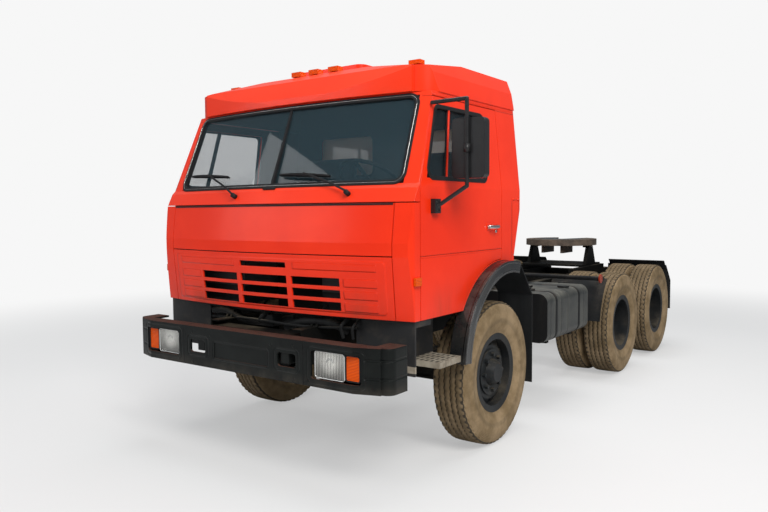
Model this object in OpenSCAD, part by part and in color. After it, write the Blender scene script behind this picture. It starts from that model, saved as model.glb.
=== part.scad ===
// Cab-over three-axle tractor unit with a day cab, a fifth wheel and twin rear wheels.
// X is the truck's left, Y its rear and Z up. Sizes along Y are taken from the front axle.

/* [Running gear] */
// Front axle to the middle axle
wheelbase = 2840; // [2600:10:3600]
// Middle axle to the rear axle
tandem_spacing = 1320; // [1300:10:1450]
// Tyre outside diameter
tyre_d = 1050; // [1000:10:1090]
// Tyre section width
tyre_w = 278; // [240:2:290]
// Bead seat diameter of the rims
rim_d = 508; // [495:1:520]
// Centre plane of the front tyres from the middle of the truck
front_track_half = 1030; // [1015:5:1060]
// Centre plane of the outer rear tyres from the middle of the truck
rear_track_half = 1072; // [1060:2:1090]
// Spacing of the twin tyres
twin_spacing = 310; // [300:2:330]
// Steering pivot from the middle of the truck
pivot_half = 880; // [870:2:890]

/* [Frame] */
// Bumper face ahead of the front axle
front_overhang = 1460; // [1400:10:1500]
// Rear guards behind the rear axle
rear_overhang = 640; // [600:10:800]
// Width over the frame rails
frame_w = 864; // [820:4:880]
// Depth of a rail
rail_h = 240; // [200:10:260]
// Top of the rails above the ground
frame_top = 960; // [940:5:970]
// Flange width of a rail
rail_flange = 80; // [60:5:100]
// Metal thickness of a rail
rail_t = 9; // [7:1:12]
// Fifth wheel ahead of the rear axle
fifth_ahead = 60; // [0:10:200]
// Top face of the fifth wheel above the ground
fifth_top = 1350; // [1280:5:1400]
// Diameter of the fifth wheel
fifth_d = 880; // [840:10:940]
// Bore of the closed kingpin jaw
kingpin_bore_d = 51; // [50.9:0.1:52]

/* [Cab] */
// Width of the cab at its doors
cab_w = 2320; // [2200:10:2360]
// Width of the cab at its gutter
gutter_w = 2200; // [2100:10:2240]
// Bottom edge of the cab's panels
cab_bottom = 1045; // [1040:1:1060]
// Belt line, where the sides start to lean in
belt_z = 1866; // [1800:2:1900]
// Gutter, where the roof cap sits
gutter_z = 2475; // [2440:5:2550]
// Crown of the roof
crown_z = 2742; // [2700:2:2780]
// Rear wall behind the front axle
cab_rear = 350; // [300:10:400]
// Radius of the bowed front in plan
bow_r = 6500; // [5500:100:6600]
// Thickness of the doors and walls
wall = 45; // [30:1:60]
// Gap between panels
seam = 6; // [4:0.5:8]
// Height of the front wheel arch's centre
arch_z = 660; // [640:5:680]
// Radius of the arch cut in the door
arch_r = 702; // [690:1:715]

/* [Side gear] */
// Length of the fuel tank
tank_l = 965; // [800:5:1000]
// Height of the fuel tank
tank_h = 420; // [350:5:440]
// Width of the fuel tank
tank_w = 590; // [400:5:600]
// Outer face of the tank from the middle of the truck
tank_out = 1150; // [1100:5:1200]
// Reach of the mirror from the middle of the truck
mirror_reach = 1465; // [1400:5:1500]

/* [Hidden] */
$fn = 96;

running = 0.05;                          // radial clearance of a pin in its bore
axle_z = tyre_d / 2;
middle_y = wheelbase;
rear_y = wheelbase + tandem_spacing;
tail_y = rear_y + rear_overhang;
flare_out = cab_w / 2 + 80;              // outer edge of the front wing
mid_x = (mirror_reach - flare_out) / 2;  // middle of the whole width, as only the left has a mirror
mid_y = (tail_y - front_overhang) / 2;   // middle of the whole length

// ---- helpers ------------------------------------------------------------------------------

module placed() { translate([-mid_x, -mid_y, 0]) children(); }

// a (y, z) outline carried across the truck from x0 to x1
module across(x0, x1) { translate([x0, 0, 0]) rotate([90, 0, 90]) linear_extrude(x1 - x0) children(); }

// an (x, z) outline carried along the truck from y0 to y1
module along(y0, y1) { translate([0, y1, 0]) rotate([90, 0, 0]) linear_extrude(y1 - y0) children(); }

// an (x, y) plan carried up from z0 to z1
module upright(z0, z1) { translate([0, 0, z0]) linear_extrude(z1 - z0) children(); }

module block(x0, x1, y0, y1, z0, z1) { translate([x0, y0, z0]) cube([x1 - x0, y1 - y0, z1 - z0]); }

module both_sides() { children(); mirror([1, 0, 0]) children(); }

// a cylinder lying across the truck
module rod_x(x0, x1, y, z, r) { translate([x0, y, z]) rotate([0, 90, 0]) cylinder(h = x1 - x0, r = r); }

// a cylinder lying along the truck
module rod_y(y0, y1, x, z, r) { translate([x, y0, z]) rotate([-90, 0, 0]) cylinder(h = y1 - y0, r = r); }

// a rectangle with round corners, from (a0, b0) to (a1, b1)
module soft_rect(a0, b0, a1, b1, r) {
    translate([a0 + r, b0]) square([a1 - a0 - 2 * r, b1 - b0]);
    translate([a0, b0 + r]) square([a1 - a0, b1 - b0 - 2 * r]);
    for (a = [a0 + r, a1 - r], b = [b0 + r, b1 - r]) translate([a, b]) circle(r);
}

// ---- wheels, made with the axle along X and the tyre's middle at x = 0 ---------------------

module spun() { rotate([0, 90, 0]) rotate_extrude($fn = 120) children(); }

tyre_wall = 24;
bead_gap = 0.3;                          // the tyre's bead stands this far off the rim

module tyre_outline(inset) {
    half = tyre_w / 2 - inset;
    outer = tyre_d / 2 - inset;
    bead = rim_d / 2 + bead_gap;
    bead_half = tyre_w * 0.36 - inset * 0.9;
    lip = bead + rim_lip;
    polygon([[bead, -bead_half + 5], [bead + 3, -bead_half], [lip, -bead_half], [lip + 8, -bead_half - 11], [(outer + bead) / 2, -half],
             [outer - 62, -half + 3], [outer - 22, -half + 16], [outer - 4, -half + 38], [outer, -half + 70],
             [outer, half - 70], [outer - 4, half - 38], [outer - 22, half - 16], [outer - 62, half - 3],
             [(outer + bead) / 2, half], [lip + 8, bead_half + 11], [lip, bead_half], [bead + 3, bead_half], [bead, bead_half - 5]]);
}

module tyre() {
    spun() difference() {
        tyre_outline(0);
        tyre_outline(tyre_wall);
    }
}

rim_half = 102;                          // outer plane of the rim flange from the tyre's middle
rim_lip = 38;                            // the flange stands this far above the bead seat
rim_t = 10;

// the barrel and flanges of a rim
module rim_barrel() {
    seat = rim_d / 2;
    inner_edge = tyre_w * 0.36 + 1;
    polygon([[seat - rim_t, -rim_half], [seat + rim_lip, -rim_half - 6], [seat + rim_lip, -inner_edge - 1],
             [seat + 2, -inner_edge], [seat, -inner_edge + 4], [seat, inner_edge - 4], [seat + 2, inner_edge],
             [seat + rim_lip, inner_edge + 1], [seat + rim_lip, rim_half + 6], [seat - rim_t, rim_half]]);
}

hub_r = 100;
stud_circle_r = 132;
nut_r = 16;
stud_count = 8;
hand_hole_count = 8;
disc_t = 14;

// a ring of like things, count of them at radius r round the X axis
module ringed(count, r) {
    for (i = [0:count - 1]) rotate([i * 360 / count, 0, 0]) translate([0, 0, r]) children();
}

// a rim whose disc stands at disc_x, holed for hands and valves
module disc_wheel(disc_x, bore_r) {
    difference() {
        union() {
            spun() rim_barrel();
            spun() polygon([[bore_r, disc_x - disc_t], [195, disc_x - disc_t], [rim_d / 2 - rim_t, disc_x - disc_t - 26],
                            [rim_d / 2 - rim_t, disc_x - 24], [198, disc_x], [bore_r, disc_x]]);
        }
        ringed(hand_hole_count, 220) translate([-500, 0, 0]) rotate([0, 90, 0]) cylinder(h = 1000, r = 20);
    }
}

front_disc_x = 62;
spindle_r = 35;
drum_r = 205;

// the front wheel: rim, hub with its cap, and brake drum
module front_wheel() {
    disc_wheel(front_disc_x, hub_r);
    spun() polygon([[spindle_r + running, -80], [drum_r, -80], [drum_r, 6], [drum_r - 14, 6],
                    [drum_r - 14, -68], [hub_r, -68], [hub_r, front_disc_x - disc_t], [170, front_disc_x - disc_t],
                    [170, front_disc_x + 12], [hub_r, front_disc_x + 12], [84, 110], [70, 128], [0, 128],
                    [0, 112], [spindle_r + running, 112]]);
    ringed(stud_count, stud_circle_r) translate([front_disc_x + 10, 0, 0]) rotate([0, 90, 0])
        cylinder(h = 26, r = nut_r, $fn = 6);
}

axle_spindle_r = 48;

// two rims on one hub: the outer disc is dished deep in, the inner one deep out
module twin_wheels() {
    meet_x = -twin_spacing / 2;
    rear_rim(meet_x + disc_t);
    translate([-twin_spacing, 0, 0]) mirror([1, 0, 0]) rear_rim(meet_x + disc_t);
    spun() polygon([[axle_spindle_r + running, meet_x - 120], [120, meet_x - 120], [120, meet_x - 40],
                    [150, meet_x - disc_t], [150, meet_x + disc_t], [108, meet_x + 34],
                    [100, meet_x + 120], [88, meet_x + 138], [0, meet_x + 138],
                    [0, meet_x + 116], [axle_spindle_r + running, meet_x + 116]]);
    ringed(stud_count, stud_circle_r) translate([meet_x + disc_t - 2, 0, 0]) rotate([0, 90, 0])
        cylinder(h = 28, r = nut_r, $fn = 6);
}

// one rear rim: the disc lies from the barrel's inner end to the plane where the two rims meet
module rear_rim(face_x) {
    difference() {
        union() {
            spun() rim_barrel();
            spun() polygon([[150.2, face_x - disc_t], [190, face_x - disc_t], [rim_d / 2 - rim_t + 2, face_x + 34],
                            [rim_d / 2 - rim_t + 2, face_x + 52], [184, face_x], [150.2, face_x]]);
        }
        ringed(hand_hole_count, 208) translate([face_x - 100, 0, 0]) rotate([0, 90, 0]) cylinder(h = 220, r = 15);
    }
}

module at_wheel(x, y) { placed() translate([x, y, axle_z]) children(); }

module front_left_tyre() { color("tan") at_wheel(front_track_half, 0) tyre(); }
module front_right_tyre() { color("tan") at_wheel(-front_track_half, 0) tyre(); }
module front_left_wheel() { color("dimgray") at_wheel(front_track_half, 0) front_wheel(); }
module front_right_wheel() { color("dimgray") at_wheel(-front_track_half, 0) mirror([1, 0, 0]) front_wheel(); }

// the two tyres of one rear wheel pair; side is 1 on the left and -1 on the right
module twin_tyres(side, y) {
    color("tan") for (x = [rear_track_half, rear_track_half - twin_spacing]) at_wheel(side * x, y) tyre();
}

module middle_left_tyres() { twin_tyres(1, middle_y); }
module middle_right_tyres() { twin_tyres(-1, middle_y); }
module rear_left_tyres() { twin_tyres(1, rear_y); }
module rear_right_tyres() { twin_tyres(-1, rear_y); }

module middle_left_wheels() { color("dimgray") at_wheel(rear_track_half, middle_y) twin_wheels(); }
module middle_right_wheels() { color("dimgray") at_wheel(-rear_track_half, middle_y) mirror([1, 0, 0]) twin_wheels(); }
module rear_left_wheels() { color("dimgray") at_wheel(rear_track_half, rear_y) twin_wheels(); }
module rear_right_wheels() { color("dimgray") at_wheel(-rear_track_half, rear_y) mirror([1, 0, 0]) twin_wheels(); }

// ---- steering and axles ---------------------------------------------------------------------

kingpin_r = 22;
eye_half_h = 55;
eye_gap = 6;
ear_t = 30;
eye_r = 45;

// the left knuckle: two ears on the kingpin, a web outside the eye, and the spindle
module knuckle() {
    reach = eye_half_h + eye_gap + ear_t;
    translate([pivot_half, 0, axle_z]) {
        for (z = [-reach, eye_half_h + eye_gap]) translate([0, 0, z]) {
            cylinder(h = ear_t, r = eye_r);
            translate([0, -eye_r + 5, 0]) cube([eye_r + 24, 2 * eye_r - 10, ear_t]);
        }
        translate([0, 0, -reach]) cylinder(h = 2 * reach, r = kingpin_r);
        translate([eye_r + 6, -45, -reach]) cube([14, 90, 2 * reach]);
    }
    rod_x(pivot_half + eye_r + 20, front_track_half + 108, 0, axle_z, spindle_r);
}

module left_knuckle() { color("darkslategray") placed() knuckle(); }
module right_knuckle() { color("darkslategray") placed() mirror([1, 0, 0]) knuckle(); }

beam_drop = 70;

// forged I beam, dropped between its two kingpin eyes
module front_axle() {
    color("darkslategray") placed() difference() {
        union() {
            block(-520, 520, -40, 40, axle_z - beam_drop - 45, axle_z - beam_drop + 45);
            both_sides() {
                along(-40, 40) polygon([[500, axle_z - beam_drop - 45], [640, axle_z - beam_drop - 45],
                                        [pivot_half - 20, axle_z - 40], [pivot_half - 20, axle_z + 40],
                                        [620, axle_z - beam_drop + 45], [500, axle_z - beam_drop + 45]]);
                translate([pivot_half, 0, axle_z - eye_half_h]) cylinder(h = 2 * eye_half_h, r = eye_r);
            }
        }
        both_sides() {
            translate([pivot_half, 0, 0]) cylinder(h = 2 * axle_z, r = kingpin_r + running);
            for (y = [-60, 25]) block(-1, 600, y, y + 35, axle_z - beam_drop - 25, axle_z - beam_drop + 25);
        }
    }
}

banjo_r = 215;
tube_r = 62;

// one driven axle: banjo case, tubes and the two spindles that carry the hubs
module drive_axle() {
    spun() {
        polygon([[0, -120], [110, -120], [banjo_r * 0.8, -70], [banjo_r, 0], [banjo_r * 0.8, 70], [110, 120], [0, 120]]);
        translate([0, -rear_track_half - 20 + twin_spacing / 2]) square([axle_spindle_r, 2 * rear_track_half + 40 - twin_spacing]);
        half_tube = rear_track_half - twin_spacing / 2 - 130;
        translate([0, -half_tube]) square([tube_r + 10, 2 * half_tube]);
    }
    rod_y(-330, 0, 0, 60, 105);
}

module drive_axles() {
    color("darkslategray") placed() for (y = [middle_y, rear_y]) translate([0, y, axle_z]) drive_axle();
}

front_spring_x = 400;
rear_spring_x = 520;
leaf_w = 90;
leaf_t = 12;
front_leaf_half = 760;
rear_leaf_half = 640;
front_leaves = 6;
rear_leaves = 7;
seat_gap = 0.3;

// leaf packs: front ones on the axle beam, rear ones over the middle of the tandem
module leaf_springs() {
    front_bottom = axle_z - beam_drop + 45 + seat_gap;
    rear_bottom = axle_z + tube_r + 10 + seat_gap;
    color("dimgray") placed() both_sides() {
        for (i = [0:front_leaves - 1]) {
            half = front_leaf_half - (front_leaves - 1 - i) * 100;
            block(front_spring_x - leaf_w / 2, front_spring_x + leaf_w / 2, -half, half,
                  front_bottom + i * leaf_t, front_bottom + (i + 1) * leaf_t);
        }
        for (y = [-front_leaf_half, front_leaf_half - 40])
            block(front_spring_x - leaf_w / 2, front_spring_x + leaf_w / 2, y, y + 40,
                  front_bottom + front_leaves * leaf_t, frame_top - rail_h - seat_gap);
        for (i = [0:rear_leaves - 1]) {
            half = tandem_spacing / 2 + 60 - i * 70;
            block(rear_spring_x - leaf_w / 2, rear_spring_x + leaf_w / 2,
                  (middle_y + rear_y) / 2 - half, (middle_y + rear_y) / 2 + half,
                  rear_bottom + i * leaf_t, rear_bottom + (i + 1) * leaf_t);
        }
        block(frame_w / 2 + seat_gap, rear_spring_x + leaf_w / 2, (middle_y + rear_y) / 2 - 90,
              (middle_y + rear_y) / 2 + 90, rear_bottom + rear_leaves * leaf_t, frame_top - 60);
    }
}

engine_rear = 560;
shaft_r = 48;

module propeller_shafts() {
    color("dimgray") placed() {
        rod_y(engine_rear + 0.3, middle_y - 330 - 0.3, 0, 640, shaft_r);
        rod_y(middle_y + banjo_r + 0.3, rear_y - 330 - 0.3, 0, axle_z + 60, shaft_r);
    }
}

// ---- frame ----------------------------------------------------------------------------------

frame_front = -front_overhang + 130;
frame_rear = tail_y - 80;

module frame_rails() {
    z0 = frame_top - rail_h;
    color("dimgray") placed() both_sides() along(frame_front, frame_rear) difference() {
        translate([frame_w / 2 - rail_flange, z0]) square([rail_flange, rail_h]);
        translate([frame_w / 2 - rail_flange - 1, z0 + rail_t]) square([rail_flange - rail_t + 1, rail_h - 2 * rail_t]);
    }
}

member_depth = 120;
member_h = 160;

// channel members between the rails, clear of the engine and the drive axles
module crossmembers() {
    z0 = frame_top - rail_h / 2 - member_h / 2;
    half = frame_w / 2 - rail_t - seat_gap;
    color("dimgray") placed() for (y = [frame_front + 10, 900, 1900, middle_y + 330, (middle_y + rear_y) / 2 + 190, frame_rear - member_depth])
        difference() {
            block(-half, half, y, y + member_depth, z0, z0 + member_h);
            block(-half - 1, half + 1, y + 10, y + member_depth + 1, z0 + 10, z0 + member_h - 10);
        }
}

module engine() {
    color("gray") placed() {
        block(-300, 300, -780, 130, 700, 1330);
        block(-190, 190, 130, engine_rear, 560, 960);
    }
}

// ---- front bumper ---------------------------------------------------------------------------

bumper_bottom = 651;
bumper_top = 925;
bumper_flat = 950;
bumper_half = 1175;
bumper_rear = 240;
bumper_t = 14;
lamp_x0 = 625;
lamp_x1 = 1000;
lamp_z0 = 700;
lamp_z1 = 875;
tow_x0 = 344;
tow_x1 = 500;
tow_z0 = 745;
tow_z1 = 833;

// plan of the bumper, flat in the middle and swept back to round corners
module bumper_plan(inset) {
    front = -front_overhang + inset;
    half = bumper_half - inset;
    corner = 60 - inset / 2;
    intersection() {
        polygon([[-half - 100, front + bumper_rear + 100], [-half - 100, front + 100], [-bumper_flat, front],
                 [bumper_flat, front], [half + 100, front + 100], [half + 100, front + bumper_rear + 100]]);
        union() {
            translate([-half, front + 66 + corner]) square([2 * half, bumper_rear - corner - inset + 40]);
            translate([-half + corner, front - 1]) square([2 * half - 2 * corner, bumper_rear]);
            for (s = [-1, 1]) translate([s * (half - corner), front + 66 + corner]) circle(corner);
        }
        translate([-half, front - 1]) square([2 * half, bumper_rear - inset + 1]);
    }
}

module front_bumper() {
    color("darkslategray") placed() {
        difference() {
            upright(bumper_bottom, bumper_top) bumper_plan(0);
            upright(bumper_bottom + bumper_t, bumper_top - bumper_t) translate([0, 1]) bumper_plan(bumper_t);
            upright(bumper_bottom + bumper_t, bumper_top - bumper_t)
                translate([-bumper_half + bumper_t, -front_overhang + bumper_rear - 60])
                square([2 * bumper_half - 2 * bumper_t, 200]);
            block(-bumper_half + 130, bumper_half - 130, -front_overhang + 110, 0, bumper_top - 60, bumper_top + 1);
            block(-bumper_half + 130, bumper_half - 130, -front_overhang + 110, 0, bumper_bottom - 1, bumper_bottom + 60);
            both_sides() {
                along(-front_overhang - 5, -front_overhang + 120) soft_rect(lamp_x0, lamp_z0, lamp_x1, lamp_z1, 20);
                along(-front_overhang - 5, -front_overhang + 60) soft_rect(tow_x0, tow_z0, tow_x1, tow_z1, 20);
            }
            block(-254, 254, -front_overhang - 1, -front_overhang + 5, 726, 830);
        }
        both_sides() block(frame_w / 2 - 70, frame_w / 2, -front_overhang + bumper_t - 1, frame_front - seat_gap, 760, 900);
        // tow eye plates behind the two openings
        both_sides() block(tow_x0 - 20, tow_x1 + 25, -front_overhang + 100, frame_front - 20, 735, 880);
        both_sides() block(lamp_x0 - 15, lamp_x1 + 15, lamp_back, lamp_back + 8, bumper_bottom + 10, bumper_top - 10);
    }
}

lamp_front = -front_overhang + 26;
lamp_back = -front_overhang + 98;        // front face of the plate behind the lamps

module headlamps() {
    color("silver") placed() both_sides()
        along(lamp_front, lamp_back - seat_gap) soft_rect(645, lamp_z0 + 10, 867, lamp_z1 - 10, 14);
}

// bumper indicators, and the round reflectors and tail lamps at the rear
module indicators() {
    color("orange") placed() both_sides() {
        along(lamp_front, lamp_back - seat_gap) soft_rect(884, lamp_z0 + 17, 984, lamp_z1 - 11, 10);
        rod_x(1190 + seat_gap, 1204, guard_tube_y, guard_tube_z, 42);
        block(600, 860, tail_y - 50 + guard_t + seat_gap, tail_y - 8, 520, 640);
    }
}

// ---- side gear ------------------------------------------------------------------------------

tank_front = 925;
tank_top = 1010;
tank_corner = 80;

module fuel_tank() {
    color("dimgray") placed() {
        along(tank_front, tank_front + tank_l)
            soft_rect(tank_out - tank_w, tank_top - tank_h, tank_out, tank_top, tank_corner);
        translate([tank_out - 100, tank_front + tank_l * 0.62, tank_top - 12]) cylinder(h = 30, r = 48);
    }
}

bracket_t = 50;

// L brackets under each side unit; each stands on the rail's web
module side_bracket(y, z0, z1, reach) {
    block(frame_w / 2 + seat_gap, frame_w / 2 + 28, y, y + bracket_t, z0 - 28, z1);
    block(frame_w / 2 + seat_gap, reach, y, y + bracket_t, z0 - 28, z0 - seat_gap);
}

module tank_brackets() {
    color("dimgray") placed() {
        for (share = [0.2, 0.76])
            side_bracket(tank_front + share * tank_l - bracket_t / 2, tank_top - tank_h, frame_top - 20, tank_out - tank_corner);
    }
}

box_front = 900;

module battery_box() {
    color("dimgray") placed() mirror([1, 0, 0]) {
        block(520, 1120, box_front, box_front + 420, 600, 950);
        side_bracket(box_front + 60, 600, frame_top - 20, 1080);
        side_bracket(box_front + 300, 600, frame_top - 20, 1080);
    }
}

module air_tanks() {
    color("dimgray") placed() mirror([1, 0, 0]) for (z = [740, 980 - 20]) {
        rod_y(1420, 2020, 620, z, 100);
        for (y = [1500, 1880]) block(frame_w / 2 + seat_gap, 530, y, y + 40, z - 30, z + 30);
    }
}

silencer_x = 930;
silencer_z = 700;
silencer_r = 125;

module silencer() {
    color("dimgray") placed() mirror([1, 0, 0]) {
        rod_y(1420, 2000, silencer_x, silencer_z, silencer_r);
        rod_y(1960, 2100, silencer_x, silencer_z, 45);
        for (y = [1560, 1800]) {
            block(frame_w / 2 + seat_gap, frame_w / 2 + 28, y, y + 30, 600, frame_top - 60);
            block(frame_w / 2 + seat_gap, silencer_x - sqrt(silencer_r * silencer_r - 75 * 75) - seat_gap,
                  y, y + 30, 600, silencer_z - 75);
        }
    }
}

// ---- fifth wheel ----------------------------------------------------------------------------

fifth_y = rear_y - fifth_ahead;
fifth_plate_t = 22;
skirt_h = 76;
trunnion_z = fifth_top - 75;
trunnion_r = 25;
bracket_x = 350;
bracket_w = 44;
base_z = frame_top + 60;
base_t = 20;

module fifth_wheel_base() {
    color("dimgray") placed() {
        both_sides() block(frame_w / 2 - 60, frame_w / 2 - 1, fifth_y - 700, fifth_y + 380, frame_top, base_z);
        block(-390, 390, fifth_y - 343, fifth_y + 350, base_z, base_z + base_t);
        both_sides() difference() {
            across(bracket_x, bracket_x + bracket_w) polygon([
                [fifth_y - 170, base_z + base_t], [fifth_y + 170, base_z + base_t],
                [fifth_y + 45, trunnion_z + 34], [fifth_y - 45, trunnion_z + 34]]);
            rod_x(bracket_x - 1, bracket_x + bracket_w + 1, fifth_y, trunnion_z, trunnion_r + running);
        }
    }
}

throat_half = 60;
rib_h = 150;

// rocking plate, with its skirt, its open throat to the rear, the closed jaw and the two pins
module fifth_wheel_plate() {
    jaw_r = 62;
    under = fifth_top - fifth_plate_t;
    color("slategray") placed() translate([0, fifth_y, 0]) {
        difference() {
            translate([0, 0, under]) cylinder(h = fifth_plate_t, r = fifth_d / 2);
            translate([0, 0, under - 1]) cylinder(h = 99, r = throat_half);
            upright(under - 1, fifth_top + 1)
                polygon([[-throat_half, 0], [throat_half, 0], [210, fifth_d / 2 + 9], [-210, fifth_d / 2 + 9]]);
        }
        difference() {
            translate([0, 0, fifth_top - skirt_h]) cylinder(h = skirt_h - fifth_plate_t, r = fifth_d / 2);
            translate([0, 0, fifth_top - skirt_h - 1]) cylinder(h = 99, r = fifth_d / 2 - 20);
            upright(fifth_top - skirt_h - 1, fifth_top + 1)
                polygon([[-throat_half, 0], [throat_half, 0], [210, fifth_d / 2 + 9], [-210, fifth_d / 2 + 9]]);
        }
        difference() {
            union() {
                translate([0, 0, under - 42]) cylinder(h = 42, r = jaw_r + 20);
                block(-300, 300, -60, -20, under - 30, under);
            }
            translate([0, 0, under - 99]) cylinder(h = 199, r = kingpin_bore_d / 2);
        }
        both_sides() {
            // cast ribs beside the throat
            block(throat_half + 50, throat_half + 80, -300, 40, under - rib_h, under);
            block(bracket_x - 40, bracket_x - 8, -60, 60, trunnion_z - 30, under);
            rod_x(bracket_x - 20, bracket_x + bracket_w + 6, 0, trunnion_z, trunnion_r);
        }
    }
}

// ---- mudguards ------------------------------------------------------------------------------

guard_r = 725;
guard_t = 8;
guard_tube_y = 2105;
guard_tube_z = 1050;

module ring_sector(r, t, a0, a1) {
    steps = 8;
    intersection() {
        difference() {
            circle(r);
            circle(r - t);
        }
        polygon([[0, 0], for (i = [0:steps]) let (a = a0 + (a1 - a0) * i / steps) 2 * r * [cos(a), sin(a)]]);
    }
}

// quarter guards before and behind the tandem, and the flaps behind the front wheels
module mudguards() {
    color("darkslategray") placed() both_sides() {
        across(630, 1190) translate([middle_y, axle_z]) ring_sector(guard_r + guard_t, guard_t, 136, 172);
        rod_x(frame_w / 2 - 50, 1190, guard_tube_y, guard_tube_z, 22);
        block(frame_w / 2 - 50, frame_w / 2 - 2, guard_tube_y - 15, guard_tube_y + 15, frame_top, guard_tube_z);
        for (x = [640, 1150]) across(x, x + guard_t) polygon([
            [guard_tube_y, guard_tube_z - 20], [middle_y - guard_r * cos(44), axle_z + guard_r * sin(44)],
            [middle_y - guard_r * cos(46), axle_z + guard_r * sin(46) + 4], [guard_tube_y, guard_tube_z + 20]]);
        along(tail_y - 50, tail_y - 50 + guard_t) polygon([[400, 455], [1199, 455], [1199, 814], [1144, 1008], [400, 1008]]);
        across(440, 1144) translate([rear_y, axle_z])
            ring_sector(guard_r + guard_t, guard_t, acos((rear_overhang - 50) / (guard_r + guard_t)), 48);
        block(frame_w / 2 + seat_gap, 500, tail_y - 120, tail_y - 49, 850, 900);
        block(850, 1150, 612, 620, 330, 1040);
        across(850, 1150) polygon([[612, 1038], [620, 1038], [620, 1044], [412, 1285], [404, 1279]]);
        rod_x(frame_w / 2 + seat_gap, 850, 616, 900, 18);
    }
}

// ---- cab ------------------------------------------------------------------------------------

fold_y = -1255;                         // foremost fold of the front, at the middle
bow_y = fold_y + bow_r;                 // upright axis that the bowed front turns about
floor_z = 1175;
tunnel_half = 420;
tunnel_top = 1400;
arch_y = 50;
inner_arch_x = 565;
door_front = -1046;
door_rear = 40;
lid_top = 1766;
lid_bottom = 1436;
panel_half = 1030;
bulkhead_y = -1052;                     // front face of the bulkhead behind the grille and lid
bulkhead_t = 40;
hinge_y = -1130;
hinge_z = 990;

// heights of the front's folds and how far each lies behind the foremost fold
FRONT = [[cab_bottom, 37], [lid_bottom, 0], [1520, 0], [lid_top, 32], [1858, 78], [1885, 105], [gutter_z, 345]];

// side view of the cab, drawn in by inset, as (y, z) with y from the foremost fold
function front_line(inset) = [for (f = FRONT) [f[1] + inset, f[0]]];

module cab_front(inset) {
    sweep = 32;
    translate([0, bow_y, 0]) rotate([0, 0, -90 - sweep / 2]) rotate_extrude(angle = sweep, $fn = 256)
        polygon(concat([[0, cab_bottom], for (p = front_line(inset)) [bow_r - p[0], p[1]]],
                       [[bow_r - 345 - inset, crown_z + 9], [0, crown_z + 9]]));
}

corner_r = 70;
door_depth = wall + (cab_w - gutter_w) / 2 + 6;   // reaches the inner face of the leaning side

// half width of the cab at height z
function cab_side(z) = cab_w / 2 - (cab_w - gutter_w) / 2 * max(0, z - belt_z) / (gutter_z - belt_z);

// the cab's outer form, or the same form drawn in by inset all round
module cab_form(inset) {
    half = cab_w / 2 - inset;
    top_half = gutter_w / 2 - inset;
    intersection() {
        cab_front(inset);
        along(-1400, cab_rear + 1) polygon([[-half, cab_bottom - 1], [half, cab_bottom - 1], [half, belt_z],
                                            [top_half, gutter_z], [-top_half, gutter_z], [-half, belt_z]]);
        across(-half - 1, half + 1) polygon([[-1400, cab_bottom - 2], [250 - inset, cab_bottom - 2],
                                             [250 - inset, 1371], [cab_rear - inset, 1720],
                                             [cab_rear - inset, gutter_z + 1], [-1400, gutter_z + 1]]);
        upright(cab_bottom - 3, gutter_z + 2) {
            translate([-half, -1105 + inset]) square([2 * half, 1500]);
            translate([-half + corner_r, -1400]) square([2 * half - 2 * corner_r, 1800]);
            for (s = [-1, 1]) translate([s * (half - corner_r), -1105 + inset]) circle(corner_r);
        }
    }
}

// outline of the left door in side view; grow it for the opening
module door_outline(grow) {
    difference() {
        polygon([[door_front - grow, cab_bottom - 1 - grow], [door_rear + grow, cab_bottom - 1 - grow],
                 [door_rear + grow, 2440 + grow], [-812 - grow, 2440 + grow], [door_front - grow, belt_z]]);
        translate([arch_y, arch_z]) circle(arch_r - grow);
    }
}

window_bottom = 1920;
window_top = 2380;

module window_outline(grow) {
    rear_post = -180;
    polygon([[-965 - grow, window_bottom - grow], [rear_post + grow, window_bottom - grow],
             [rear_post + 25 + grow, window_top + grow], [-790 - grow, window_top + grow]]);
}

module screen_outline(grow) {
    polygon([[-1046 - grow, 1887 - grow], [1046 + grow, 1887 - grow], [1023 + grow, 2452 + grow / 4],
             [-1023 - grow, 2452 + grow / 4]]);
}

// the space inside the cab, above the floor, the wheel arches and the engine tunnel
module cab_room() {
    difference() {
        cab_form(wall);
        block(-cab_w, cab_w, -1500, 500, 0, floor_z);
        both_sides() rod_x(inner_arch_x, cab_w, arch_y, arch_z, arch_r - 12 + wall - 4);
        block(-tunnel_half, tunnel_half, -1500, 500, 0, tunnel_top);
        block(-cab_w, cab_w, -1500, bulkhead_y + bulkhead_t, 0, lid_top + seam + 30);
    }
}

lug_r = 24;
lug_x = 396;
lug_w = 24;
cab_pin_r = 14;

// the two lugs under the floor that the cab tilts on
module pivot_lugs() {
    both_sides() difference() {
        union() {
            rod_x(lug_x, lug_x + lug_w, hinge_y, hinge_z, lug_r);
            across(lug_x, lug_x + lug_w) polygon([[hinge_y, hinge_z - lug_r], [-1000, cab_bottom - 20], [-1000, cab_bottom + 60],
                                                  [door_front, cab_bottom + 60], [hinge_y, hinge_z + lug_r]]);
        }
        rod_x(lug_x - 1, lug_x + lug_w + 1, hinge_y, hinge_z, cab_pin_r + running);
    }
}

module cab_shell() {
    color("red") placed() {
        pivot_lugs();
        cab_body();
    }
}

module cab_body() {
    difference() {
        cab_form(0);
        cab_room();
        block(-tunnel_half + wall, tunnel_half - wall, -1100, 500, 0, tunnel_top - wall);
        both_sides() {
            rod_x(inner_arch_x + wall, cab_w, arch_y, arch_z, arch_r - 12);
            across(cab_w / 2 - door_depth, cab_w / 2 + 1) door_outline(seam);
        }
        // the lid, the grille panel and the corner panels stand in front of this cut
        block(-cab_w, cab_w, -1500, bulkhead_y, 0, lid_top + seam);
        along(-1400, -600) screen_outline(0);
        both_sides() along(200, 500) soft_rect(205, 2035, 788, 2370, 40);
    }
}

screen_foot = 128;
screen_head = 352;
screen_t = 8;

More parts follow.
